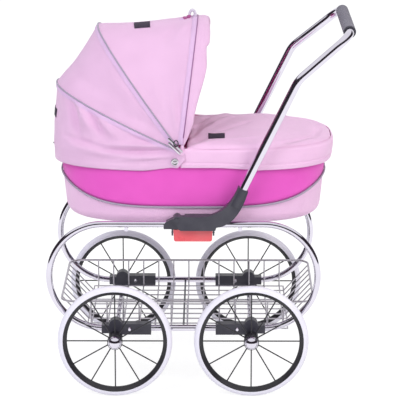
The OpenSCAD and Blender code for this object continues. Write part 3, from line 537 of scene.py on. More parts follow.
def buildWorld():
    sky = {"even": 0.81, "tint": (0.97, 0.98, 1.0), "lowDark": -0.20, "highDark": 0.60,
           "dark": (0.036, 0.028, 0.036), "bright": (0.97, 0.97, 0.98), "backdrop": (0.62, 0.80)}
    world = bpy.data.worlds.new("studio")
    scene.world = world
    world.use_nodes = True
    tree = world.node_tree
    tree.nodes.clear()

    def background(colour, strength=1.0):
        node = tree.nodes.new("ShaderNodeBackground")
        feed(tree, node.inputs["Color"], colour)
        node.inputs["Strength"].default_value = strength
        return node.outputs[0]

    path = tree.nodes.new("ShaderNodeLightPath")
    aim = tree.nodes.new("ShaderNodeTexCoord")
    split = tree.nodes.new("ShaderNodeSeparateXYZ")
    feed(tree, split.inputs[0], aim.outputs["Generated"])
    # Bright metal sees a dark band from just under the horizon up, white overhead, and the white
    # backdrop behind the pram
    low, high, (side, behind) = sky["lowDark"], sky["highDark"], sky["backdrop"]
    above = ramp(tree, split.outputs["Z"], 0.0, 1.0, low, low + 0.05)
    below = ramp(tree, split.outputs["Z"], 1.0, 0.0, high - 0.04, high)
    ahead = ramp(tree, split.outputs["Y"], 1.0, 0.0, side, behind)
    band = mathNode(tree, "MULTIPLY", mathNode(tree, "MULTIPLY", above, below), ahead)
    lit = mixShaders(tree, mirroredRays(tree, path), background(sky["tint"], sky["even"]),
                     background(mixColours(tree, band, sky["bright"], sky["dark"])))
    seen = mixShaders(tree, path.outputs["Is Camera Ray"], lit, background((1.0, 1.0, 1.0)))
    feed(tree, tree.nodes.new("ShaderNodeOutputWorld").inputs["Surface"], seen)


def buildLamps():
    lamps = {"key": ((-1.3, -2.6, 3.0), 1.6, 47.0, (0.94, 0.95, 1.0)),
             "fill": ((2.2, -1.9, 2.3), 1.8, 34.0, (1.0, 0.96, 0.87))}
    target = Vector((0.0, 0.0, 0.35))
    for name, (place, size, power, tint) in lamps.items():
        data = bpy.data.lights.new(name, "AREA")
        data.shape = "DISK"
        data.size = size
        data.energy = power
        data.color = tint
        lamp = bpy.data.objects.new(name, data)
        lamp.location = place
        lamp.rotation_euler = (target - Vector(place)).to_track_quat("-Z", "Y").to_euler()
        lamp.visible_glossy = False
        lamp.visible_camera = False
        scene.collection.objects.link(lamp)


def buildFloor():
    # White to the camera and in the metal, and a plain pale floor to the light on the pram
    look = {"span": 14.0, "lit": 0.34, "glow": 0.78}
    finish, tree, shader = newFinish("studioFloor")
    setShader(tree, shader, {"Base Color": (0.86, 0.86, 0.87), "Roughness": 0.9, "Specular IOR Level": 0.0})
    path = tree.nodes.new("ShaderNodeLightPath")
    shade = tree.nodes.new("ShaderNodeBsdfDiffuse")
    shade.inputs["Color"].default_value = (look["lit"],) * 3 + (1.0,)
    glow = tree.nodes.new("ShaderNodeEmission")
    glow.inputs["Strength"].default_value = look["glow"]
    both = tree.nodes.new("ShaderNodeAddShader")
    tree.links.new(shade.outputs[0], both.inputs[0])
    tree.links.new(glow.outputs[0], both.inputs[1])
    direct = mathNode(tree, "MAXIMUM", path.outputs["Is Camera Ray"], mirroredRays(tree, path))
    feed(tree, tree.nodes["Material Output"].inputs["Surface"],
         mixShaders(tree, direct, shader.outputs[0], both.outputs[0]))
    mesh = bmesh.new()
    bmesh.ops.create_grid(mesh, x_segments=2, y_segments=2, size=look["span"] / 2)
    pieceFrom(mesh, "studioGround", [finish])


scene.view_settings.view_transform = "Standard"
buildCamera()
buildWorld()
buildLamps()
buildFloor()
print("camera, light and floor made")


# The cot's outline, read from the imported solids

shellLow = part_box("cot_shell")[0]
bandLow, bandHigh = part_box("cot_band")
cot = {
    "middle": (bandLow.x + bandHigh.x) / 2, "halfLength": (bandHigh.x - bandLow.x) / 2,
    "halfWidth": bandHigh.y, "baseZ": shellLow.z - 0.003, "rimZ": bandHigh.z, "pipeZ": bandLow.z,
    "baseShorter": 0.013, "baseNarrower": 0.003,   # how much less it measures at the base
    "square": 2.8, "pipeRise": 0.045, "riseSharpness": 3.4, "wall": 0.003, "edge": 0.018}
cotMiddle = Vector((cot["middle"], 0.0, (cot["baseZ"] + cot["rimZ"]) / 2))


def outlinePoint(angle, halfLength, halfWidth, z):
    # The cot's rounded outline at this direction from its middle
    power = cot["square"]
    ahead, aside = abs(math.cos(angle)) / halfLength, abs(math.sin(angle)) / halfWidth
    reach = (ahead ** power + aside ** power) ** (-1 / power)
    return Vector((cot["middle"] + reach * math.cos(angle), reach * math.sin(angle), z))


def cotPoint(angle, z, out=0.0):
    up = (z - cot["baseZ"]) / (cot["rimZ"] - cot["baseZ"])
    return outlinePoint(angle, cot["halfLength"] - cot["baseShorter"] * (1 - up) + out,
                        cot["halfWidth"] - cot["baseNarrower"] * (1 - up) + out, z)


def endShare(angle):
    # 0 half way along the sides, 1 at the two ends
    ahead = abs(cotPoint(angle, cot["rimZ"]).x - cot["middle"]) / cot["halfLength"]
    return min(ahead, 1.0) ** (cot["square"] / 2)


def angleAtX(x):
    # The direction in which the near side of the rim is at x
    ahead = (x - cot["middle"]) / cot["halfLength"]
    near = -cot["halfWidth"] * (1 - abs(ahead) ** cot["square"]) ** (1 / cot["square"])
    return math.atan2(near, x - cot["middle"])


def pipeHeight(angle):
    return cot["pipeZ"] + cot["pipeRise"] * endShare(angle) ** cot["riseSharpness"]


def evenlyShared(curve, samples=900):
    # Turns a share of a curve's length into the curve's own parameter
    points = [curve(k / samples) for k in range(samples + 1)]
    reached = [0.0]
    for a, b in zip(points, points[1:]):
        reached.append(reached[-1] + (b - a).length)

    def at(share):
        goal = min(max(share, 0.0), 1.0) * reached[-1]
        k = min(bisect.bisect_right(reached, goal), samples) - 1
        return (k + (goal - reached[k]) / (reached[k + 1] - reached[k])) / samples

    return at


evenRound = evenlyShared(lambda t: cotPoint(2 * math.pi * t, cot["rimZ"]))


def evenAngle(u):
    return 2 * math.pi * evenRound(u)


def buildCotShell():
    look = {"columns": 176, "rows": 34, "slack": 0.0009, "flat": 0.34, "turn": 0.38, "baseTurn": 0.0008}
    baseMiddle = Vector((cot["middle"], 0.0, cot["baseZ"]))

    def outer(u, v):
        angle = evenAngle(u)
        if v < look["flat"]:   # the underside, from its middle to the turn of the edge
            ring = cotPoint(angle, cot["baseZ"], -cot["edge"])
            return baseMiddle.lerp(ring, lerp(0.02, 1.0, v / look["flat"]))
        t = (v - look["flat"]) / (1 - look["flat"])
        if t < look["turn"]:
            bend = math.pi / 2 * t / look["turn"]
            return cotPoint(angle, cot["baseZ"] + cot["edge"] * (1 - math.cos(bend)),
                            -cot["edge"] * (1 - math.sin(bend)))
        up = (t - look["turn"]) / (1 - look["turn"])
        return cotPoint(angle, lerp(cot["baseZ"] + cot["edge"], pipeHeight(angle), up))

    def relief(u, v, here):
        # The cloth is drawn tight over the body: faint upright pulls below the piping
        if v < look["flat"]:
            return 0.0
        pull = noise.noise(Vector((here.x * 26, here.y * 26, here.z * 5)))
        return -look["slack"] * abs(pull) * ease((here.z - cot["baseZ"]) / 0.02)

    mesh = sheetMesh(look, raised(outer, relief), cotMiddle, joined=True)
    hole = [e for e in mesh.edges if e.is_boundary and (e.verts[0].co - baseMiddle).length < 0.02]
    bmesh.ops.edgeloop_fill(mesh, edges=hole)
    # painted shade: the faces of the underside take the dark cloth that paints the shade under the cot
    for face in mesh.faces:
        if face.calc_center_median().z < cot["baseZ"] + look["baseTurn"]:
            face.material_index = 2
    piece = pieceFrom(mesh, "cotShellCloth", [lightPink, lining, undersideShadeCloth], "cot", "cot_shell")
    addWall(piece, cot["wall"], lined=True)


def buildCotBand():
    look = {"columns": 176, "rows": 12, "slack": 0.0010, "overPipe": 0.0001}

    def outer(u, v):
        angle = evenAngle(u)
        return cotPoint(angle, lerp(pipeHeight(angle) + look["overPipe"], cot["rimZ"], v))

    def relief(u, v, here):
        pull = noise.noise(Vector((here.x * 20, here.y * 20, here.z * 9)))
        return -look["slack"] * abs(pull) * math.sin(math.pi * v)

    mesh = sheetMesh(look, raised(outer, relief), cotMiddle, joined=True)
    piece = pieceFrom(mesh, "cotBandCloth", [hotPink, lining], "cot", "cot_band")
    addWall(piece, cot["wall"], lined=True)


def buildCotPiping():
    look = {"radius": 0.0019, "proud": 0.0021, "points": 200}
    angles = [evenAngle(k / look["points"]) for k in range(look["points"])]
    ring = [cotPoint(angle, pipeHeight(angle), look["proud"]) for angle in angles]
    pieceFrom(tubeMesh(ring, look["radius"], 10, closed=True), "cotPipingCord", [pipingFinish],
              "cot", "cot_piping")


buildCotShell()
buildCotBand()
buildCotPiping()
print("cot made")


# The hood: three bows on one hinge, and the cloth between them

hinge = Vector(next(joint["pos_m"] for joint in frame["joints"] if joint["name"] == "hood_fold"))
bows = {   # how far the crown is from the hinge, half the width, and the lean in degrees from straight ahead
    "rear": {"reach": 0.254, "half": 0.1482, "angle": 156.6},
    "mid": {"reach": 0.260, "half": 0.1507, "angle": 126.9},
    "front": {"reach": 0.225, "half": 0.1550, "angle": 82.7}}
hood = {
    "archTurn": 1.2, "sideTurn": 0.9,   # how square the bows' arches are
    "proud": 0.0032,                    # the cloth's outer face over a bow's middle
    "cloth": 0.0012, "end": 84.0,
    "tunnel": 0.0095, "tunnelLift": 0.0017, "tunnelStep": 0.0016,
    "held": 0.12}                       # the share of a panel next to each bow


def bowPoint(name, across, out=0.0, shift=0.0):
    # A point over a bow; across is the angle round its arch in degrees, negative on the near side
    bow = bows[name]
    turn, phi = math.radians(bow["angle"]), math.radians(across)
    reach = (bow["reach"] + out) * math.cos(phi) ** hood["archTurn"]
    half = (bow["half"] + out) * signedPower(math.sin(phi), hood["sideTurn"])
    return hinge + Vector((reach * math.cos(turn) + shift * math.sin(turn), half,
                           reach * math.sin(turn) - shift * math.cos(turn)))


def acrossOf(u):
    return lerp(-hood["end"], hood["end"], u)


def ridge(p, start, finish, width):
    # How close p is to the line start-finish, from 0 far off to 1 on it, all seen from the side
    gap, along = nearestOn(Vector((p.x, p.z)), start, finish)
    return math.exp(-(gap / width) ** 2) * (0.35 + 0.65 * math.sin(math.pi * along))


def creased(p, creases, deeper=1.0):
    return sum(deeper * height * ridge(p, start, finish, width) for start, finish, width, height in creases)


def softWaves(p, scale, height):
    return height * noise.noise(Vector((p.x, p.y * 0.8 + 3.0, p.z)) * scale)


def tunnelBand(toEdge):
    # How far the bow in its tunnel lifts the cloth at this distance below the upper edge
    step = ease((toEdge - hood["tunnel"] + 0.001) / hood["tunnelStep"])
    return hood["tunnelLift"] * (1 - step) * ease(toEdge / 0.002)


def panelPlace(look):
    # Cloth drawn tight from bow to bow; u runs across the hood, v from the rear bow to the front one
    rear, front = look["bows"]

    def base(u, v):
        across = acrossOf(u)
        return bowPoint(rear, across, hood["proud"]).lerp(bowPoint(front, across, hood["proud"]), v)

    def relief(u, v, here):
        across = math.radians(acrossOf(u))
        width = max((base(u, 1.0) - base(u, 0.0)).length, 1e-4)
        slack = -look["slack"] * math.sin(math.pi * v) * math.cos(across) ** 1.2
        still = ease(min(v, 1 - v) * width / 0.02)
        waves = softWaves(here, 11.0, look["waves"]) + softWaves(here, 27.0, look["waves"] * 0.45)
        band = tunnelBand((1 - v) * width) * ease(width / 0.05)
        return slack + still * (waves + creased(here, look["creases"])) + band

    return raised(base, relief, -1.0)


def clusteredRows(place):
    # Puts more of the rows near the two seams
    crowding = 0.62
    return lambda u, v: place(u, v - crowding * (math.sin(2 * math.pi * v) / (2 * math.pi)))


# A crease is a line seen from the side, from one (x, z) to another, with its width and height
panels = {
    "rear": {
        "bows": ("rear", "mid"), "columns": 150, "rows": 44, "slack": 0.0036, "waves": 0.0016,
        "creases": [((-0.205, 0.585), (-0.150, 0.545), 0.014, -0.0026),
                    ((-0.150, 0.600), (-0.090, 0.545), 0.016, 0.0026),
                    ((-0.130, 0.530), (-0.060, 0.500), 0.010, -0.0024),
                    ((-0.180, 0.555), (-0.100, 0.520), 0.010, 0.0020)]},
    "front": {
        "bows": ("mid", "front"), "columns": 150, "rows": 56, "slack": 0.0040, "waves": 0.0016,
        "creases": [((-0.010, 0.570), (-0.005, 0.500), 0.005, -0.0026),
                    ((-0.024, 0.565), (-0.012, 0.500), 0.007, 0.0022),
                    ((-0.040, 0.650), (-0.008, 0.668), 0.008, -0.0030),
                    ((-0.060, 0.600), (-0.035, 0.520), 0.012, 0.0020),
                    ((-0.016, 0.660), (0.010, 0.674), 0.006, 0.0030)]}}
hoodMiddle = hinge + Vector((-0.06, 0.0, 0.06))


def tintTunnelShade(mesh, edgeAt):
    # The band over the bow's tunnel gets a lavender tint that paints the shade seen along the tunnel: the
    # faces within its width of the cloth's upper edge
    pattern = mesh.loops.layers.uv["cut"]
    across = max(loop[pattern].uv.x for face in mesh.faces for loop in face.loops)
    for face in mesh.faces:
        u = sum(loop[pattern].uv.x for loop in face.loops) / (4 * across)
        if (face.calc_center_median() - edgeAt(u)).length < hood["tunnel"]:
            face.material_index = 2


def blendBetween(piece, rear, front):
    # Bakes the piece's place into its mesh
    start, finish = bowPoint(rear, 0.0), bowPoint(front, 0.0)
    held = hood["held"]
    start.lerp(finish, held)
    start.lerp(finish, 1 - held)
    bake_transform(piece)


def buildPanel(which):
    look = panels[which]
    place = panelPlace(look)
    mesh = sheetMesh(look, clusteredRows(place), hoodMiddle)
    tintTunnelShade(mesh, lambda u: place(u, 1.0))
    piece = pieceFrom(mesh, "hood%sPanelCloth" % which.capitalize(), [shadedHoodPink, lining, tunnelShadeTint, lining],
                      node="hood_%s_panel" % which)
    blendBetween(piece, *look["bows"])
    declareSheet(piece, ["hood_%s_bow" % bow for bow in look["bows"]])
    addWall(piece, hood["cloth"], lined=True)
    return place


rearPanelPlace = buildPanel("rear")
frontPanelPlace = buildPanel("front")
print("hood panels made")


# The skirt of the hood: from the rear bow down over the cot's rim

skirtLook = {
    "columns": 230, "rows": 58,
    "flapShare": 0.03, "flapFront": 0.0045, "flapBack": -0.0114, "flapTop": 0.4588, "flapOut": 0.0052,
    "flapProud": 0.001, "hem": 0.4178, "hemLift": 0.0065, "hemRoll": 0.0008,
    "cutTop": 0.0225, "cutBack": -0.0085, "cutLong": 0.0125,
    "gap": 0.0010, "flare": 0.010, "rimShare": 0.24, "pressedIn": -0.0006, "deepest": -0.012,
    "drop": 0.105,   # how far below the rear bow's plane the cloth stays with the cot
    "waves": 0.0030, "creaseDepth": 1.25,
    "creases": [((-0.210, 0.540), (-0.192, 0.470), 0.008, -0.0075),
                ((-0.196, 0.536), (-0.168, 0.486), 0.009, 0.0070),
                ((-0.180, 0.522), (-0.144, 0.480), 0.007, -0.0062),
                ((-0.162, 0.512), (-0.118, 0.478), 0.009, 0.0042),
                ((-0.165, 0.464), (-0.018, 0.464), 0.005, 0.0046),
                ((-0.150, 0.453), (-0.022, 0.4570), 0.0045, -0.0046),
                ((-0.110, 0.441), (-0.022, 0.4450), 0.0045, 0.0036),
                ((-0.210, 0.456), (-0.120, 0.446), 0.007, 0.0044),
                ((-0.218, 0.470), (-0.150, 0.460), 0.006, -0.0042),
                ((-0.095, 0.480), (-0.035, 0.467), 0.005, -0.0030),
                ((-0.075, 0.4335), (-0.026, 0.4370), 0.004, -0.0024)]}
flapBackAngle = angleAtX(skirtLook["flapBack"])
backTurn = evenlyShared(lambda t: cotPoint(lerp(flapBackAngle, -math.pi, t), cot["rimZ"]), 400)


def skirtColumn(u):
    # The rim angle and the top point of the skirt at u, from the near flap round the back to the far one
    side, share = (1, u) if u <= 0.5 else (-1, 1 - u)
    flap = skirtLook["flapShare"]
    legEnd = bowPoint("rear", -hood["end"], hood["proud"])
    if share < flap:
        t = share / flap
        angle = lerp(angleAtX(skirtLook["flapFront"]), flapBackAngle, t)
        corner = Vector((skirtLook["flapFront"], legEnd.y - skirtLook["flapProud"], skirtLook["flapTop"]))
        top = corner.lerp(legEnd, ease(t))
    else:
        t = (share - flap) / (0.5 - flap)
        angle = lerp(flapBackAngle, -math.pi, backTurn(t))
        top = bowPoint("rear", lerp(-hood["end"], 0.0, t), hood["proud"])
    return angle * side, Vector((top.x, top.y * side, top.z))


def skirtHem(x):
    # The hem's height: it rises a little towards the hinge and is cut off on a slant at the flap
    lift = skirtLook["hemLift"] * ease((x + 0.080) / 0.066)
    cut = skirtLook["cutTop"] - skirtLook["hemLift"]
    slant = min(max((x - skirtLook["cutBack"]) / skirtLook["cutLong"], 0.0), 1.0)
    return skirtLook["hem"] + lift + cut * slant


def skirtBase(u, v):
    angle, top = skirtColumn(u)
    x = cotPoint(angle, cot["rimZ"]).x
    flap = skirtLook["flapOut"] * ease((x + 0.022) / 0.022)
    out = skirtLook["gap"] + hood["cloth"] + skirtLook["flare"] * endShare(angle) ** 4 + flap
    hem = cotPoint(angle, skirtHem(x), out)
    rim = cotPoint(angle, cot["rimZ"] + 0.001, out)
    low = skirtLook["rimShare"]
    if v < low:
        return hem.lerp(rim, v / low)
    t = (v - low) / (1 - low)
    return rim.lerp(top, t * lerp(0.6, 1.0, t))


def skirtRelief(u, v, here):
    _, top = skirtColumn(u)
    toTop = (top - here).length
    still = ease(toTop / 0.014) * ease(v / 0.05 + 0.35)
    nearHinge = bump(here.x, 0.0, 0.03)
    waves = softWaves(here, 14.0, skirtLook["waves"]) + softWaves(here, 33.0, skirtLook["waves"] * 0.4)
    creases = creased(here, skirtLook["creases"], skirtLook["creaseDepth"])
    band = tunnelBand(toTop) * (1 - nearHinge)
    hemRoll = skirtLook["hemRoll"] * (1 - ease((v - 0.075) / 0.02))
    # Over the rim the cloth lies against the cot, so it can only fold outwards there
    above = ease((v - skirtLook["rimShare"]) / 0.2)
    deepest = lerp(skirtLook["pressedIn"], skirtLook["deepest"], above)
    return max(still * (waves * (1 - 0.8 * nearHinge) + creases) + band, deepest) + hemRoll


def blendSkirt(piece):
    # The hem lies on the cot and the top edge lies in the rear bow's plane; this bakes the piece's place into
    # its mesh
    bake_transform(piece)


def buildSkirt():
    place = raised(skirtBase, skirtRelief, -1.0)
    mesh = sheetMesh(skirtLook, place, hinge + Vector((-0.08, 0.0, 0.0)))
    tintTunnelShade(mesh, lambda u: place(u, 1.0))
    piece = pieceFrom(mesh, "hoodSkirtCloth", [shadedHoodPink, lining, tunnelShadeTint, lining],
                      node="hood_skirt")
    blendSkirt(piece)
    declareSheet(piece, ["hood_rear_bow", "cot_shell"])
    addWall(piece, hood["cloth"], lined=True)
    return place


skirtPlace = buildSkirt()
print("hood skirt made")


# Piping over the rear and middle bows, the dark mauve binding on the front one's seam, which also paints the
# shade of the seam's groove, and its padded brim

pipingLook = {"radius": 0.0017, "proud": 0.0038}
seamLook = {"radius": 0.0011, "proud": 0.0035, "end": 80.0}
brimLook = {
    "columns": 140, "rows": 40, "crown": 0.0215, "side": 0.0260, "cheek": 0.44, "notch": 0.0044,
    "dip": 0.0030, "lift": 0.0016, "thick": 0.0046, "thin": 0.0012, "seam": 0.0006, "swell": 0.0007}


def overBow(name, out, end, shift=0.0, steps=96):
    return [bowPoint(name, lerp(-end, end, k / steps), out, shift) for k in range(steps + 1)]


for bow in ("rear", "mid"):
    line = overBow(bow, pipingLook["proud"], hood["end"])
    pieceFrom(tubeMesh(line, pipingLook["radius"], 10), "hood%sPiping" % bow.capitalize(), [pipingFinish],
              "hood_" + bow)
# the front seam's cord is a binding and also paints the shade of the seam's groove
line = overBow("front", seamLook["proud"], seamLook["end"])
pieceFrom(tubeMesh(line, seamLook["radius"], 8), "hoodFrontSeamBindingAndShade", [seamBindingAndShadeCloth],
          "hood_front")


def brimWidth(across):
    # Wider beside the crown than over it, notched there, and cut back towards the hinge
    turn = abs(across)
    width = lerp(brimLook["crown"], brimLook["side"], ease(turn / 26))
    width -= brimLook["notch"] * ease((turn - 27.5) / 3.5) * (1 - ease((turn - 30) / 14))
    return width * (1 - brimLook["cheek"] * ease((turn - 42) / 28)) * min((86 - turn) / 14, 1.0) ** 0.8


def brimPlace(u, v):
    # v goes once round the section: out over the top to the front edge, and back underneath
    across = acrossOf(u)
    width = brimWidth(across)
    along = 0.5 - 0.5 * math.cos(2 * math.pi * v)   # 0 at the seam, 1 at the front edge
    rounding = math.sqrt(max(0.0, 1 - max(0.0, (along - 0.86) / 0.14) ** 2))
    thick = lerp(brimLook["thin"], brimLook["thick"], ease((along * width - 0.003) / 0.007))
    middle = hood["proud"] - thick / 2 + brimLook["lift"] * ease(along / 0.6) - brimLook["dip"] * along ** 6
    top = v <= 0.5
    out = middle + (thick / 2) * rounding * (1 if top else -1)
    uneven = noise.noise(Vector((across * 0.12, along * 1.5, 2.0)))
    swell = brimLook["swell"] * math.sin(math.pi * along) * uneven
    return bowPoint("front", across, out + (swell if top else 0.0), brimLook["seam"] + along * width)


def buildBrim():
    mesh = sheetMesh(brimLook, brimPlace, hinge + Vector((0.04, 0.0, 0.16)), joined=True)
    bmesh.ops.recalc_face_normals(mesh, faces=mesh.faces)
    bmesh.ops.holes_fill(mesh, edges=[e for e in mesh.edges if e.is_boundary], sides=0)
    bmesh.ops.recalc_face_normals(mesh, faces=mesh.faces)
    pieceFrom(mesh, "hoodBrimPad", [shadedHoodPink], "hood_front", "hood_brim")


buildBrim()
print("hood piping and brim made")


seamLines = {"below": 0.0102, "hemShare": 0.095, "brimEnd": 80.0, "brimShift": 0.0062, "brimProud": 0.0034}


def lineBelow(place, shares):
    # The points on a sheet that lie just below its tunnel
    found = []
    for u in shares:
        edge, v = place(u, 1.0), 1.0
        while (place(u, v) - edge).length < seamLines["below"] and v > 0.3:
            v -= 0.004
        found.append(place(u, v))
    return found


def awayFromHood(point):
    return (point - hoodMiddle).normalized()


def sewLine(name, points, away, body=None):
    return pieceFrom(stitchMesh(points, away), name, [threadFinish], body=body)


shares = [lerp(0.035, 0.965, k / 120) for k in range(121)]
blendBetween(sewLine("hoodMidTunnelStitches", lineBelow(rearPanelPlace, shares), awayFromHood), "rear", "mid")
blendSkirt(sewLine("hoodRearTunnelStitches", lineBelow(skirtPlace, shares[4:-4]), awayFromHood))
hemLine = [skirtPlace(lerp(0.004, 0.996, k / 260), seamLines["hemShare"]) for k in range(261)]
sewLine("hoodSkirtHemStitches", hemLine, awayFromHood, "cot")
brimLine = overBow("front", seamLines["brimProud"], seamLines["brimEnd"], seamLines["brimShift"], 120)
sewLine("hoodBrimStitches", brimLine, awayFromHood, "hood_front")


# Small dark labels, left bare

def buildTag(name, place, uRange, vRange, restsOn):
    look = {"columns": 16, "rows": 12, "proud": 0.0010, "thick": 0.0007}

    def base(u, v):
        return place(lerp(*uRange, u), lerp(*vRange, v))

    mesh = sheetMesh(look, raised(base, lambda u, v, here: look["proud"], -1.0), hoodMiddle)
    piece = pieceFrom(mesh, name, [tagCloth])
    declareSheet(piece, [restsOn])
    addWall(piece, look["thick"])
    return piece


blendBetween(buildTag("hoodTopLabel", frontPanelPlace, (0.433, 0.503), (0.36, 0.52), "hoodFrontPanelCloth"),
             "mid", "front")
blendSkirt(buildTag("hoodBackLabel", skirtPlace, (0.437, 0.493), (0.655, 0.755), "hoodSkirtCloth"))


# Press studs and the bow ends that show at the hinges

def studMesh(radius, place, outward, tall=1.0):
    # The profile is turned about the stud's axis, in shares of its radius
    mesh = bmesh.new()
    profile = [(0.0, 0.0), (1.0, 0.0), (1.0, 0.12), (0.9, 0.21), (0.66, 0.22), (0.56, 0.14), (0.46, 0.14),
               (0.38, 0.28), (0.2, 0.34), (0.0, 0.36)]
    verts = [mesh.verts.new((r * radius, 0.0, h * radius * tall)) for r, h in profile]
    edges = [mesh.edges.new(pair) for pair in zip(verts, verts[1:])]
    bmesh.ops.spin(mesh, geom=verts + edges, cent=(0, 0, 0), axis=(0, 0, 1), angle=2 * math.pi, steps=32,
                   use_merge=True)
    bmesh.ops.remove_doubles(mesh, verts=mesh.verts, dist=1e-6)
    bmesh.ops.recalc_face_normals(mesh, faces=mesh.faces)
    turn = Vector((0, 0, 1)).rotation_difference(outward).to_matrix().to_4x4()
    bmesh.ops.transform(mesh, matrix=Matrix.Translation(place) @ turn, verts=mesh.verts)
    return mesh


def joinMeshes(meshes):
    first = meshes[0]
    for other in meshes[1:]:
        data = bpy.data.meshes.new("part")
        other.to_mesh(data)
        other.free()
        first.from_mesh(data)
        bpy.data.meshes.remove(data)
    return first


def pairOf(make):
    # The same small part on both sides of the pram
    return joinMeshes([make(side) for side in (-1, 1)])


def buildStuds():
    look = {"x": -0.0142, "z": 0.4354, "out": 0.0042, "radius": 0.0071,
            "backZ": 0.437, "backOut": 0.0098, "backRadius": 0.0042, "backTall": 3.6}
    at = cotPoint(angleAtX(look["x"]), look["z"], look["out"])
    pair = pairOf(lambda side: studMesh(look["radius"], Vector((at.x, -side * at.y, at.z)),
                                        Vector((0, side, 0))))
    pieceFrom(pair, "hoodSkirtStuds", [nickel], "cot", "hood_snaps")
    back = cotPoint(math.pi, look["backZ"], look["backOut"])
    knob = studMesh(look["backRadius"], back, Vector((-1, 0, 0)), look["backTall"])
    pieceFrom(knob, "hoodBackStud", [darkSteel], "cot")


trimLook = {
    "y": 0.1602, "thick": 0.0011, "width": 0.0042, "angle": 135.0,
    "strips": ((0.037, -0.0026, 0.0), (0.031, 0.0028, 0.0004)),   # each one's length, shift and lift
    "loopAngle": 118.0, "loopOut": 0.0210, "loopWide": 0.0040, "loopTall": 0.0056, "loopLift": 0.0022,
    "loopRadius": 0.0010}


def stripMesh(side, length, shift, lift):
    # A flat metal strip that lies against the cloth and points at the hinge
    width, thick = trimLook["width"], trimLook["thick"]
    mesh = bmesh.new()
    bmesh.ops.create_cube(mesh, size=1.0, matrix=Matrix.Diagonal((length, thick, width, 1.0)))
    corners = [e for e in mesh.edges if abs(e.verts[0].co.y - e.verts[1].co.y) > thick / 2]
    bmesh.ops.bevel(mesh, geom=corners, offset=width * 0.45, segments=4, profile=0.5, affect="EDGES",
                    material=-1)
    rims = [e for e in mesh.edges if e.calc_face_angle(0) > 1.0]
    bmesh.ops.bevel(mesh, geom=rims, offset=thick * 0.3, segments=2, profile=0.5, affect="EDGES", material=-1)
    turn = Matrix.Rotation(-math.radians(trimLook["angle"]), 4, "Y")
    middle = hinge + turn @ Vector((length / 2, 0.0, shift)) + Vector((0, side * (trimLook["y"] + lift), 0))
    bmesh.ops.transform(mesh, matrix=Matrix.Translation(middle) @ turn, verts=mesh.verts)
    return mesh


def hingeLoop(side):
    look, turn = trimLook, math.radians(trimLook["loopAngle"])
    middle = hinge + Vector((math.cos(turn), 0, math.sin(turn))) * look["loopOut"]
    middle.y = side * (look["y"] + look["loopLift"])
    ring = ringOf(middle, look["loopWide"], look["loopTall"], 24)
    return tubeMesh(ring, look["loopRadius"], 8, closed=True)


def buildHingeTrim():
    strips = pairOf(lambda side: joinMeshes([stripMesh(side, *strip) for strip in trimLook["strips"]]))
    pieceFrom(strips, "hoodBowEnds", [nickel], "hood_mid")
    pieceFrom(pairOf(hingeLoop), "hoodHingeLoops", [darkSteel], "hood_mid")


buildStuds()
buildHingeTrim()


def buildCrownLoop():
    # The loop of piping that stands at the crown of the front bow, and the pinched cloth under it, in a dark
    # mauve that paints the shade in the pocket there
    look = {"x": 0.0158, "y": -0.006, "z": 0.6838, "wide": 0.0052, "tall": 0.0086, "radius": 0.0027,
            "deep": 1.7,   # how much deeper than wide its cord is
            "crumple": 0.0009,
            "pinches": (((0.0030, -0.010, 0.6772), (0.0056, 0.0076, 0.0030), 0.5),
                        ((0.0092, -0.008, 0.6806), (0.0050, 0.0064, 0.0032), -0.4)),
            "fold": ((-0.0035, -0.010, 0.6735), (0.0085, 0.0080, 0.0040), -0.45)}
    ring = ringOf(Vector((look["x"], 0.0, look["z"])), look["wide"], look["tall"], 32)
    mesh = tubeMesh(ring, look["radius"], 10, closed=True)
    bmesh.ops.scale(mesh, vec=(1.0, look["deep"], 1.0), verts=mesh.verts)
    bmesh.ops.translate(mesh, vec=(0.0, look["y"], 0.0), verts=mesh.verts)
    pieceFrom(mesh, "hoodCrownLoop", [loopCloth], "hood_front")
    pinch = bmesh.new()
    for place, size, tilt in look["pinches"]:
        roundBall(pinch, place, size, tilt)
    for vert in pinch.verts:
        vert.co += vert.normal * look["crumple"] * noise.noise(vert.co * 260)
    pieceFrom(pinch, "hoodCrownPinchShade", [pinchShadeCloth], "hood_front")
    fold = bmesh.new()
    roundBall(fold, *look["fold"], across=24, up=14)
    pieceFrom(fold, "hoodCrownFold", [foldCloth], "hood_front")


buildCrownLoop()
print("labels, studs and hinge trim made")


# The apron: a side cloth round the rim and a padded top

apron = {
    "front": -0.0040, "padFront": 0.0040, "over": 0.012, "side": 0.0054, "seam": 0.4588,
    "hem": 0.4185, "hemLift": 0.0062, "hemRoll": 0.0012, "seamLift": 0.0028, "drape": 0.0026,
    "crown": 0.014, "under": 0.4500, "cloth": 0.0014,
    "drawnIn": (0.0018, 0.005),   # at the hem, at the sides and at the end
    "turnedIn": (0.0022, 0.0026, 0.0006)}   # at the seam: at the sides, at the end, and down
padLook = {   # the padded top lies just inside the side cloth's seam
    "columns": 70, "rows": 60, "side": apron["side"] - 0.0012, "over": apron["over"] - 0.0002, "rise": 0.0006}


def apronOutline(turn, z, side, over):
    return outlinePoint(turn, cot["halfLength"] + over, cot["halfWidth"] + side, z)


apronOpen = -angleAtX(apron["front"])


def apronRound(t, z, side, over):
    return apronOutline(lerp(-apronOpen, apronOpen, t), z, side, over)


apronTurn = evenlyShared(lambda t: apronRound(t, 0.0, apron["side"], apron["over"]))


def apronEdge(u, z, side, over):
    return apronRound(apronTurn(u), z, side, over)


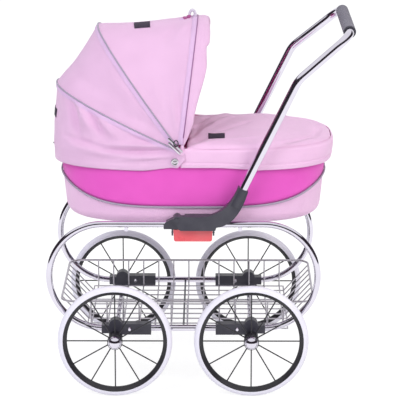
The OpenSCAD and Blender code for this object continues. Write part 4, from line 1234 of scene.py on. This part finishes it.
def apronSide(u, v):
    # Drawn in at the hem, full above it, and turned in at the seam under the padded top
    x = apronEdge(u, 0.0, apron["side"], apron["over"]).x
    hem = apron["hem"] + apron["hemLift"] * (1 - ease((x - 0.05) / 0.11))
    seam = apron["seam"] + apron["seamLift"] * (1 - ease((x + 0.01) / 0.06))
    full = math.sin(math.pi * min(v * 1.15, 1.0) * 0.62)
    turn = ease((v - 0.86) / 0.14)
    side, over = (apron[key] - drawn * (1 - full) - turned * turn
                  for key, drawn, turned in zip(("side", "over"), apron["drawnIn"], apron["turnedIn"]))
    return apronEdge(u, lerp(hem, seam, v) - apron["turnedIn"][2] * turn, side, over)


def apronSideRelief(u, v, here):
    # A rolled hem with a groove above it, soft drape, and one upright fold with a swell behind it
    hemRoll = apron["hemRoll"] * (1 - ease((v - 0.20) / 0.05))
    hemRoll -= 0.0009 * bump(v, 0.245, 0.03)
    drape = apron["drape"] * noise.noise(Vector((here.x * 17, here.y * 17, here.z * 4 + 5.0)))
    fold = -0.0030 * bump(here.x, 0.121 - (here.z - 0.44) * 0.15, 0.007)
    fold += 0.0022 * bump(here.x, 0.136, 0.009)
    return hemRoll + (drape + fold * (1 if here.y < 0 else 0.6)) * (1 - 0.75 * ease(v / 0.9))


def buildApronSide():
    look = {"columns": 220, "rows": 34, "hemShare": 0.225}
    place = raised(apronSide, apronSideRelief)
    mesh = sheetMesh(look, place, Vector((0.10, 0.0, 0.44)))
    piece = pieceFrom(mesh, "apronSideCloth", [lightPink, lining], body="cot")
    declareSheet(piece, ["cot_shell", "apronTopPad"])
    addWall(piece, apron["cloth"], lined=True)
    sewLine("apronHemStitches", [place(lerp(0.01, 0.99, k / 300), look["hemShare"]) for k in range(301)],
            lambda p: (p - Vector((cot["middle"] + 0.05, 0.0, p.z))).normalized(), "cot")


def flatRidge(p, points, width):
    # How close p is to a line of points, all seen from above
    spot = Vector((p.x, p.y))
    gap = min(nearestOn(spot, start, finish)[0] for start, finish in zip(points, points[1:]))
    return math.exp(-(gap / width) ** 2)


# Folds pressed into the apron's top: a line of (x, y) points seen from above, its width and its height
apronFolds = [
    ([(0.155, -0.146), (0.205, -0.108), (0.243, -0.066), (0.256, 0.0), (0.243, 0.066), (0.205, 0.108)],
     0.006, -0.0042),
    ([(0.150, -0.149), (0.215, -0.118), (0.256, -0.072), (0.268, 0.0)], 0.006, 0.0022),
    ([(0.008, -0.138), (0.040, -0.060), (0.090, 0.060)], 0.006, 0.0034),
    ([(0.010, -0.145), (0.060, -0.080), (0.120, 0.010)], 0.007, -0.0030),
    ([(0.020, -0.120), (0.026, -0.020), (0.050, 0.090)], 0.008, -0.0034),
    ([(0.012, -0.150), (0.070, -0.118), (0.130, -0.100)], 0.006, 0.0020),
    ([(0.006, -0.040), (0.050, 0.020), (0.080, 0.120)], 0.008, 0.0026)]


def levelOf(p, side, over):
    # 0 on the apron's middle line, 1 on its outline
    power = cot["square"]
    ahead = max(p.x - cot["middle"], 0.0) / (cot["halfLength"] + over)
    return (ahead ** power + (abs(p.y) / (cot["halfWidth"] + side)) ** power) ** (1 / power)


def padPoint(u, v):
    length = cot["middle"] + cot["halfLength"] + padLook["over"] - apron["padFront"]
    x = apron["padFront"] + length * math.sin(math.pi / 2 * u)
    ahead = max(x - cot["middle"], 0.0) / (cot["halfLength"] + padLook["over"])
    half = (cot["halfWidth"] + padLook["side"]) * max(1 - ahead ** cot["square"], 0.0) ** (1 / cot["square"])
    return Vector((x, half * lerp(-1, 1, v), 0.0))


def padTop(p):
    level = levelOf(p, padLook["side"], padLook["over"])
    return apron["seam"] + padLook["rise"] + apron["crown"] * (1 - min(level, 1.0) ** 2.4)


def simulatedPad(mesh, name, settings):
    # Remeshes a closed pad, blows it up a little as cloth, and keeps the result
    data = bpy.data.meshes.new(name)
    mesh.to_mesh(data)
    mesh.free()
    piece = bpy.data.objects.new(name, data)
    scene.collection.objects.link(piece)
    bpy.context.view_layer.objects.active = piece
    even = piece.modifiers.new("even", "REMESH")
    even.mode = "VOXEL"
    even.voxel_size = settings["voxel"]
    graph = bpy.context.evaluated_depsgraph_get()
    remade = bpy.data.meshes.new_from_object(piece.evaluated_get(graph))
    piece.modifiers.clear()
    piece.data = remade
    start = [vert.co.copy() for vert in remade.vertices]
    cloth = piece.modifiers.new("fill", "CLOTH")
    cloth.settings.use_pressure = True
    cloth.settings.uniform_pressure_force = settings["pressure"]
    cloth.settings.effector_weights.gravity = 0.0
    cloth.settings.quality = 4
    for frameNumber in range(1, settings["frames"] + 1):
        scene.frame_set(frameNumber)
    graph = bpy.context.evaluated_depsgraph_get()
    blown = [vert.co.copy() for vert in piece.evaluated_get(graph).data.vertices]
    piece.modifiers.clear()
    scene.frame_set(1)
    for vert, before, after in zip(piece.data.vertices, start, blown):
        move = after - before
        if move.length > settings["cap"]:
            move *= settings["cap"] / move.length
        vert.co = before + move
    return piece


def sculpt(piece, change):
    # Moves each point of a pad by change(point, normal)
    mesh = bmesh.new()
    mesh.from_mesh(piece.data)
    bmesh.ops.smooth_vert(mesh, verts=mesh.verts, factor=0.5, use_axis_x=True, use_axis_y=True,
                          use_axis_z=True)
    mesh.normal_update()
    for vert, move in [(vert, change(vert.co, vert.normal)) for vert in mesh.verts]:
        vert.co += move
    mesh.to_mesh(piece.data)
    mesh.free()


def finishPad(piece, finish, node):
    piece.data.materials.clear()
    piece.data.materials.append(finish)
    piece.data.shade_smooth()
    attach(piece, "cot")
    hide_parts(node)


def closedPad(look, place, top, under):
    # A closed pad over a flat outline
    mesh = bmesh.new()
    bmesh.ops.create_grid(mesh, x_segments=look["columns"], y_segments=look["rows"], size=0.5)
    for vert in mesh.verts:
        p = place(vert.co.x + 0.5, vert.co.y + 0.5)
        vert.co = (p.x, p.y, under)
    made = bmesh.ops.extrude_face_region(mesh, geom=mesh.faces[:])["geom"]
    for vert in (g for g in made if isinstance(g, bmesh.types.BMVert)):
        vert.co.z = top(vert.co)
    bmesh.ops.remove_doubles(mesh, verts=mesh.verts, dist=1e-5)
    bmesh.ops.recalc_face_normals(mesh, faces=mesh.faces)
    return mesh


apronTagLook = {
    "columns": 14, "rows": 10, "middle": (0.0612, -0.098), "wide": 0.0305, "long": 0.030, "lift": 0.0009,
    "thick": 0.0006}


def buildApronTop():
    settings = {"voxel": 0.0045, "pressure": 4.0, "frames": 16, "cap": 0.004}
    look = {"waves": 0.0024, "ripples": 0.0007, "sewn": -0.0012, "farCorner": -0.008, "tagSpace": 0.026}

    def change(p, normal):
        level = levelOf(p, apron["side"], apron["over"])
        up = ease((normal.z - 0.2) / 0.5)
        folds = sum(height * flatRidge(p, points, width) for points, width, height in apronFolds)
        waves = softWaves(p, 20.0, look["waves"]) + softWaves(p, 48.0, look["ripples"])
        sewn = look["sewn"] * bump(level, 0.955, 0.02)   # the rim of the top is sewn down along its outline
        sunk = look["farCorner"] * (1 - ease(p.x / 0.15)) * ease(p.y / 0.15)
        sunk *= ease((p.z - apron["under"]) / 0.008)
        flat = 1 - 0.85 * bump((p.xy - Vector(apronTagLook["middle"])).length, 0.0, look["tagSpace"])
        relief = (folds + waves) * flat * (1 - ease((level - 0.88) / 0.1)) + sewn
        return normal * up * relief + Vector((0, 0, sunk))

    mesh = closedPad(padLook, padPoint, padTop, apron["under"])
    piece = simulatedPad(mesh, "apronTopPad", settings)
    sculpt(piece, change)
    finishPad(piece, lightPinkPad, "apron")
    smoothing = piece.modifiers.new("round", "SUBSURF")
    smoothing.levels = smoothing.render_levels = 1
    return piece


def buildMattress():
    settings = {"voxel": 0.006, "pressure": 4.0, "frames": 14, "cap": 0.003}
    look = {"columns": 80, "rows": 50, "inset": 0.0035, "under": 0.0036, "crown": 0.0015,
            "quilt": 0.07, "puff": 0.0022, "sewn": 0.0016}
    low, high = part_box("mattress")
    halfLength, halfWidth = (high.x - low.x) / 2 - look["inset"], high.y - look["inset"]

    def place(u, v):
        across = math.sin(math.pi / 2 * lerp(-1, 1, u))
        half = halfWidth * max(1 - abs(across) ** cot["square"], 0.0) ** (1 / cot["square"])
        return Vector((cot["middle"] + halfLength * across, half * lerp(-1, 1, v), 0.0))

    def top(p):
        level = (abs(p.x - cot["middle"]) / halfLength) ** 2 + (p.y / halfWidth) ** 2
        return high.z - look["inset"] + look["crown"] * max(1 - level, 0.0)

    def change(p, normal):
        # Quilted in diamonds
        up = ease((normal.z - 0.2) / 0.5)
        size = look["quilt"]
        quilt = abs(math.sin(math.pi * (p.x + p.y) / size)) * abs(math.sin(math.pi * (p.x - p.y) / size))
        return normal * up * (look["puff"] * quilt ** 0.4 - look["sewn"])

    piece = simulatedPad(closedPad(look, place, top, low.z + look["under"]), "mattressPad", settings)
    sculpt(piece, change)
    finishPad(piece, mattressCloth, "mattress")


buildApronSide()
apronTop = buildApronTop()
buildMattress()


def buildApronTag():
    look = apronTagLook
    left, near = look["middle"][0] - look["wide"] / 2, look["middle"][1] - look["long"] / 2
    pad = bmesh.new()
    pad.from_mesh(apronTop.data)
    tree = BVHTree.FromBMesh(pad)

    def place(u, v):
        spot = Vector((left + look["wide"] * u, near + look["long"] * v, 0.6))
        return tree.ray_cast(spot, Vector((0, 0, -1)))[0] + Vector((0.0, -0.2, 1.0)) * look["lift"]

    mesh = sheetMesh(look, place, cotMiddle)
    pad.free()
    piece = pieceFrom(mesh, "apronLabel", [tagCloth], body="cot")
    declareSheet(piece, ["apronTopPad"])
    addWall(piece, look["thick"])


buildApronTag()
print("apron and mattress made")


# The handle's tube, swept along its bends

def buildHandle():
    look = {"lean": 26.0, "legLength": 0.255, "upperRise": 40.0, "upperLength": 0.123, "upperIn": 0.020,
            "legY": 0.1705, "bendRadius": 0.050, "cornerRadius": 0.034, "radius": 0.008, "sides": 28,
            "ringSpacing": 0.006}
    gripMiddle = sum(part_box("handle_grip"), Vector()) / 2
    corner = Vector((gripMiddle.x, look["legY"] - look["upperIn"], gripMiddle.z))
    rise, lean = math.radians(look["upperRise"]), math.radians(look["lean"])
    bend = corner + Vector((-look["upperLength"] * math.cos(rise), look["upperIn"],
                            -look["upperLength"] * math.sin(rise)))
    foot = bend - Vector((math.sin(lean), 0.0, math.cos(lean))) * look["legLength"]
    right = [foot, bend, corner]
    left = [Vector((p.x, -p.y, p.z)) for p in reversed(right)]
    radii = [look["bendRadius"], look["cornerRadius"], look["cornerRadius"], look["bendRadius"]]
    bends = roundedPath(right + left, radii, steps=20)
    # Rings at a steady spacing, so that the long straight stretches shade as straight
    path = [bends[0]] + [point for point, _ in evenly(bends, look["ringSpacing"])] + [bends[-1]]
    pieceFrom(tubeMesh(path, look["radius"], look["sides"]), "handleTubeSwept", [chrome],
              "handle", "handle_tube")


buildHandle()
print("handle made")
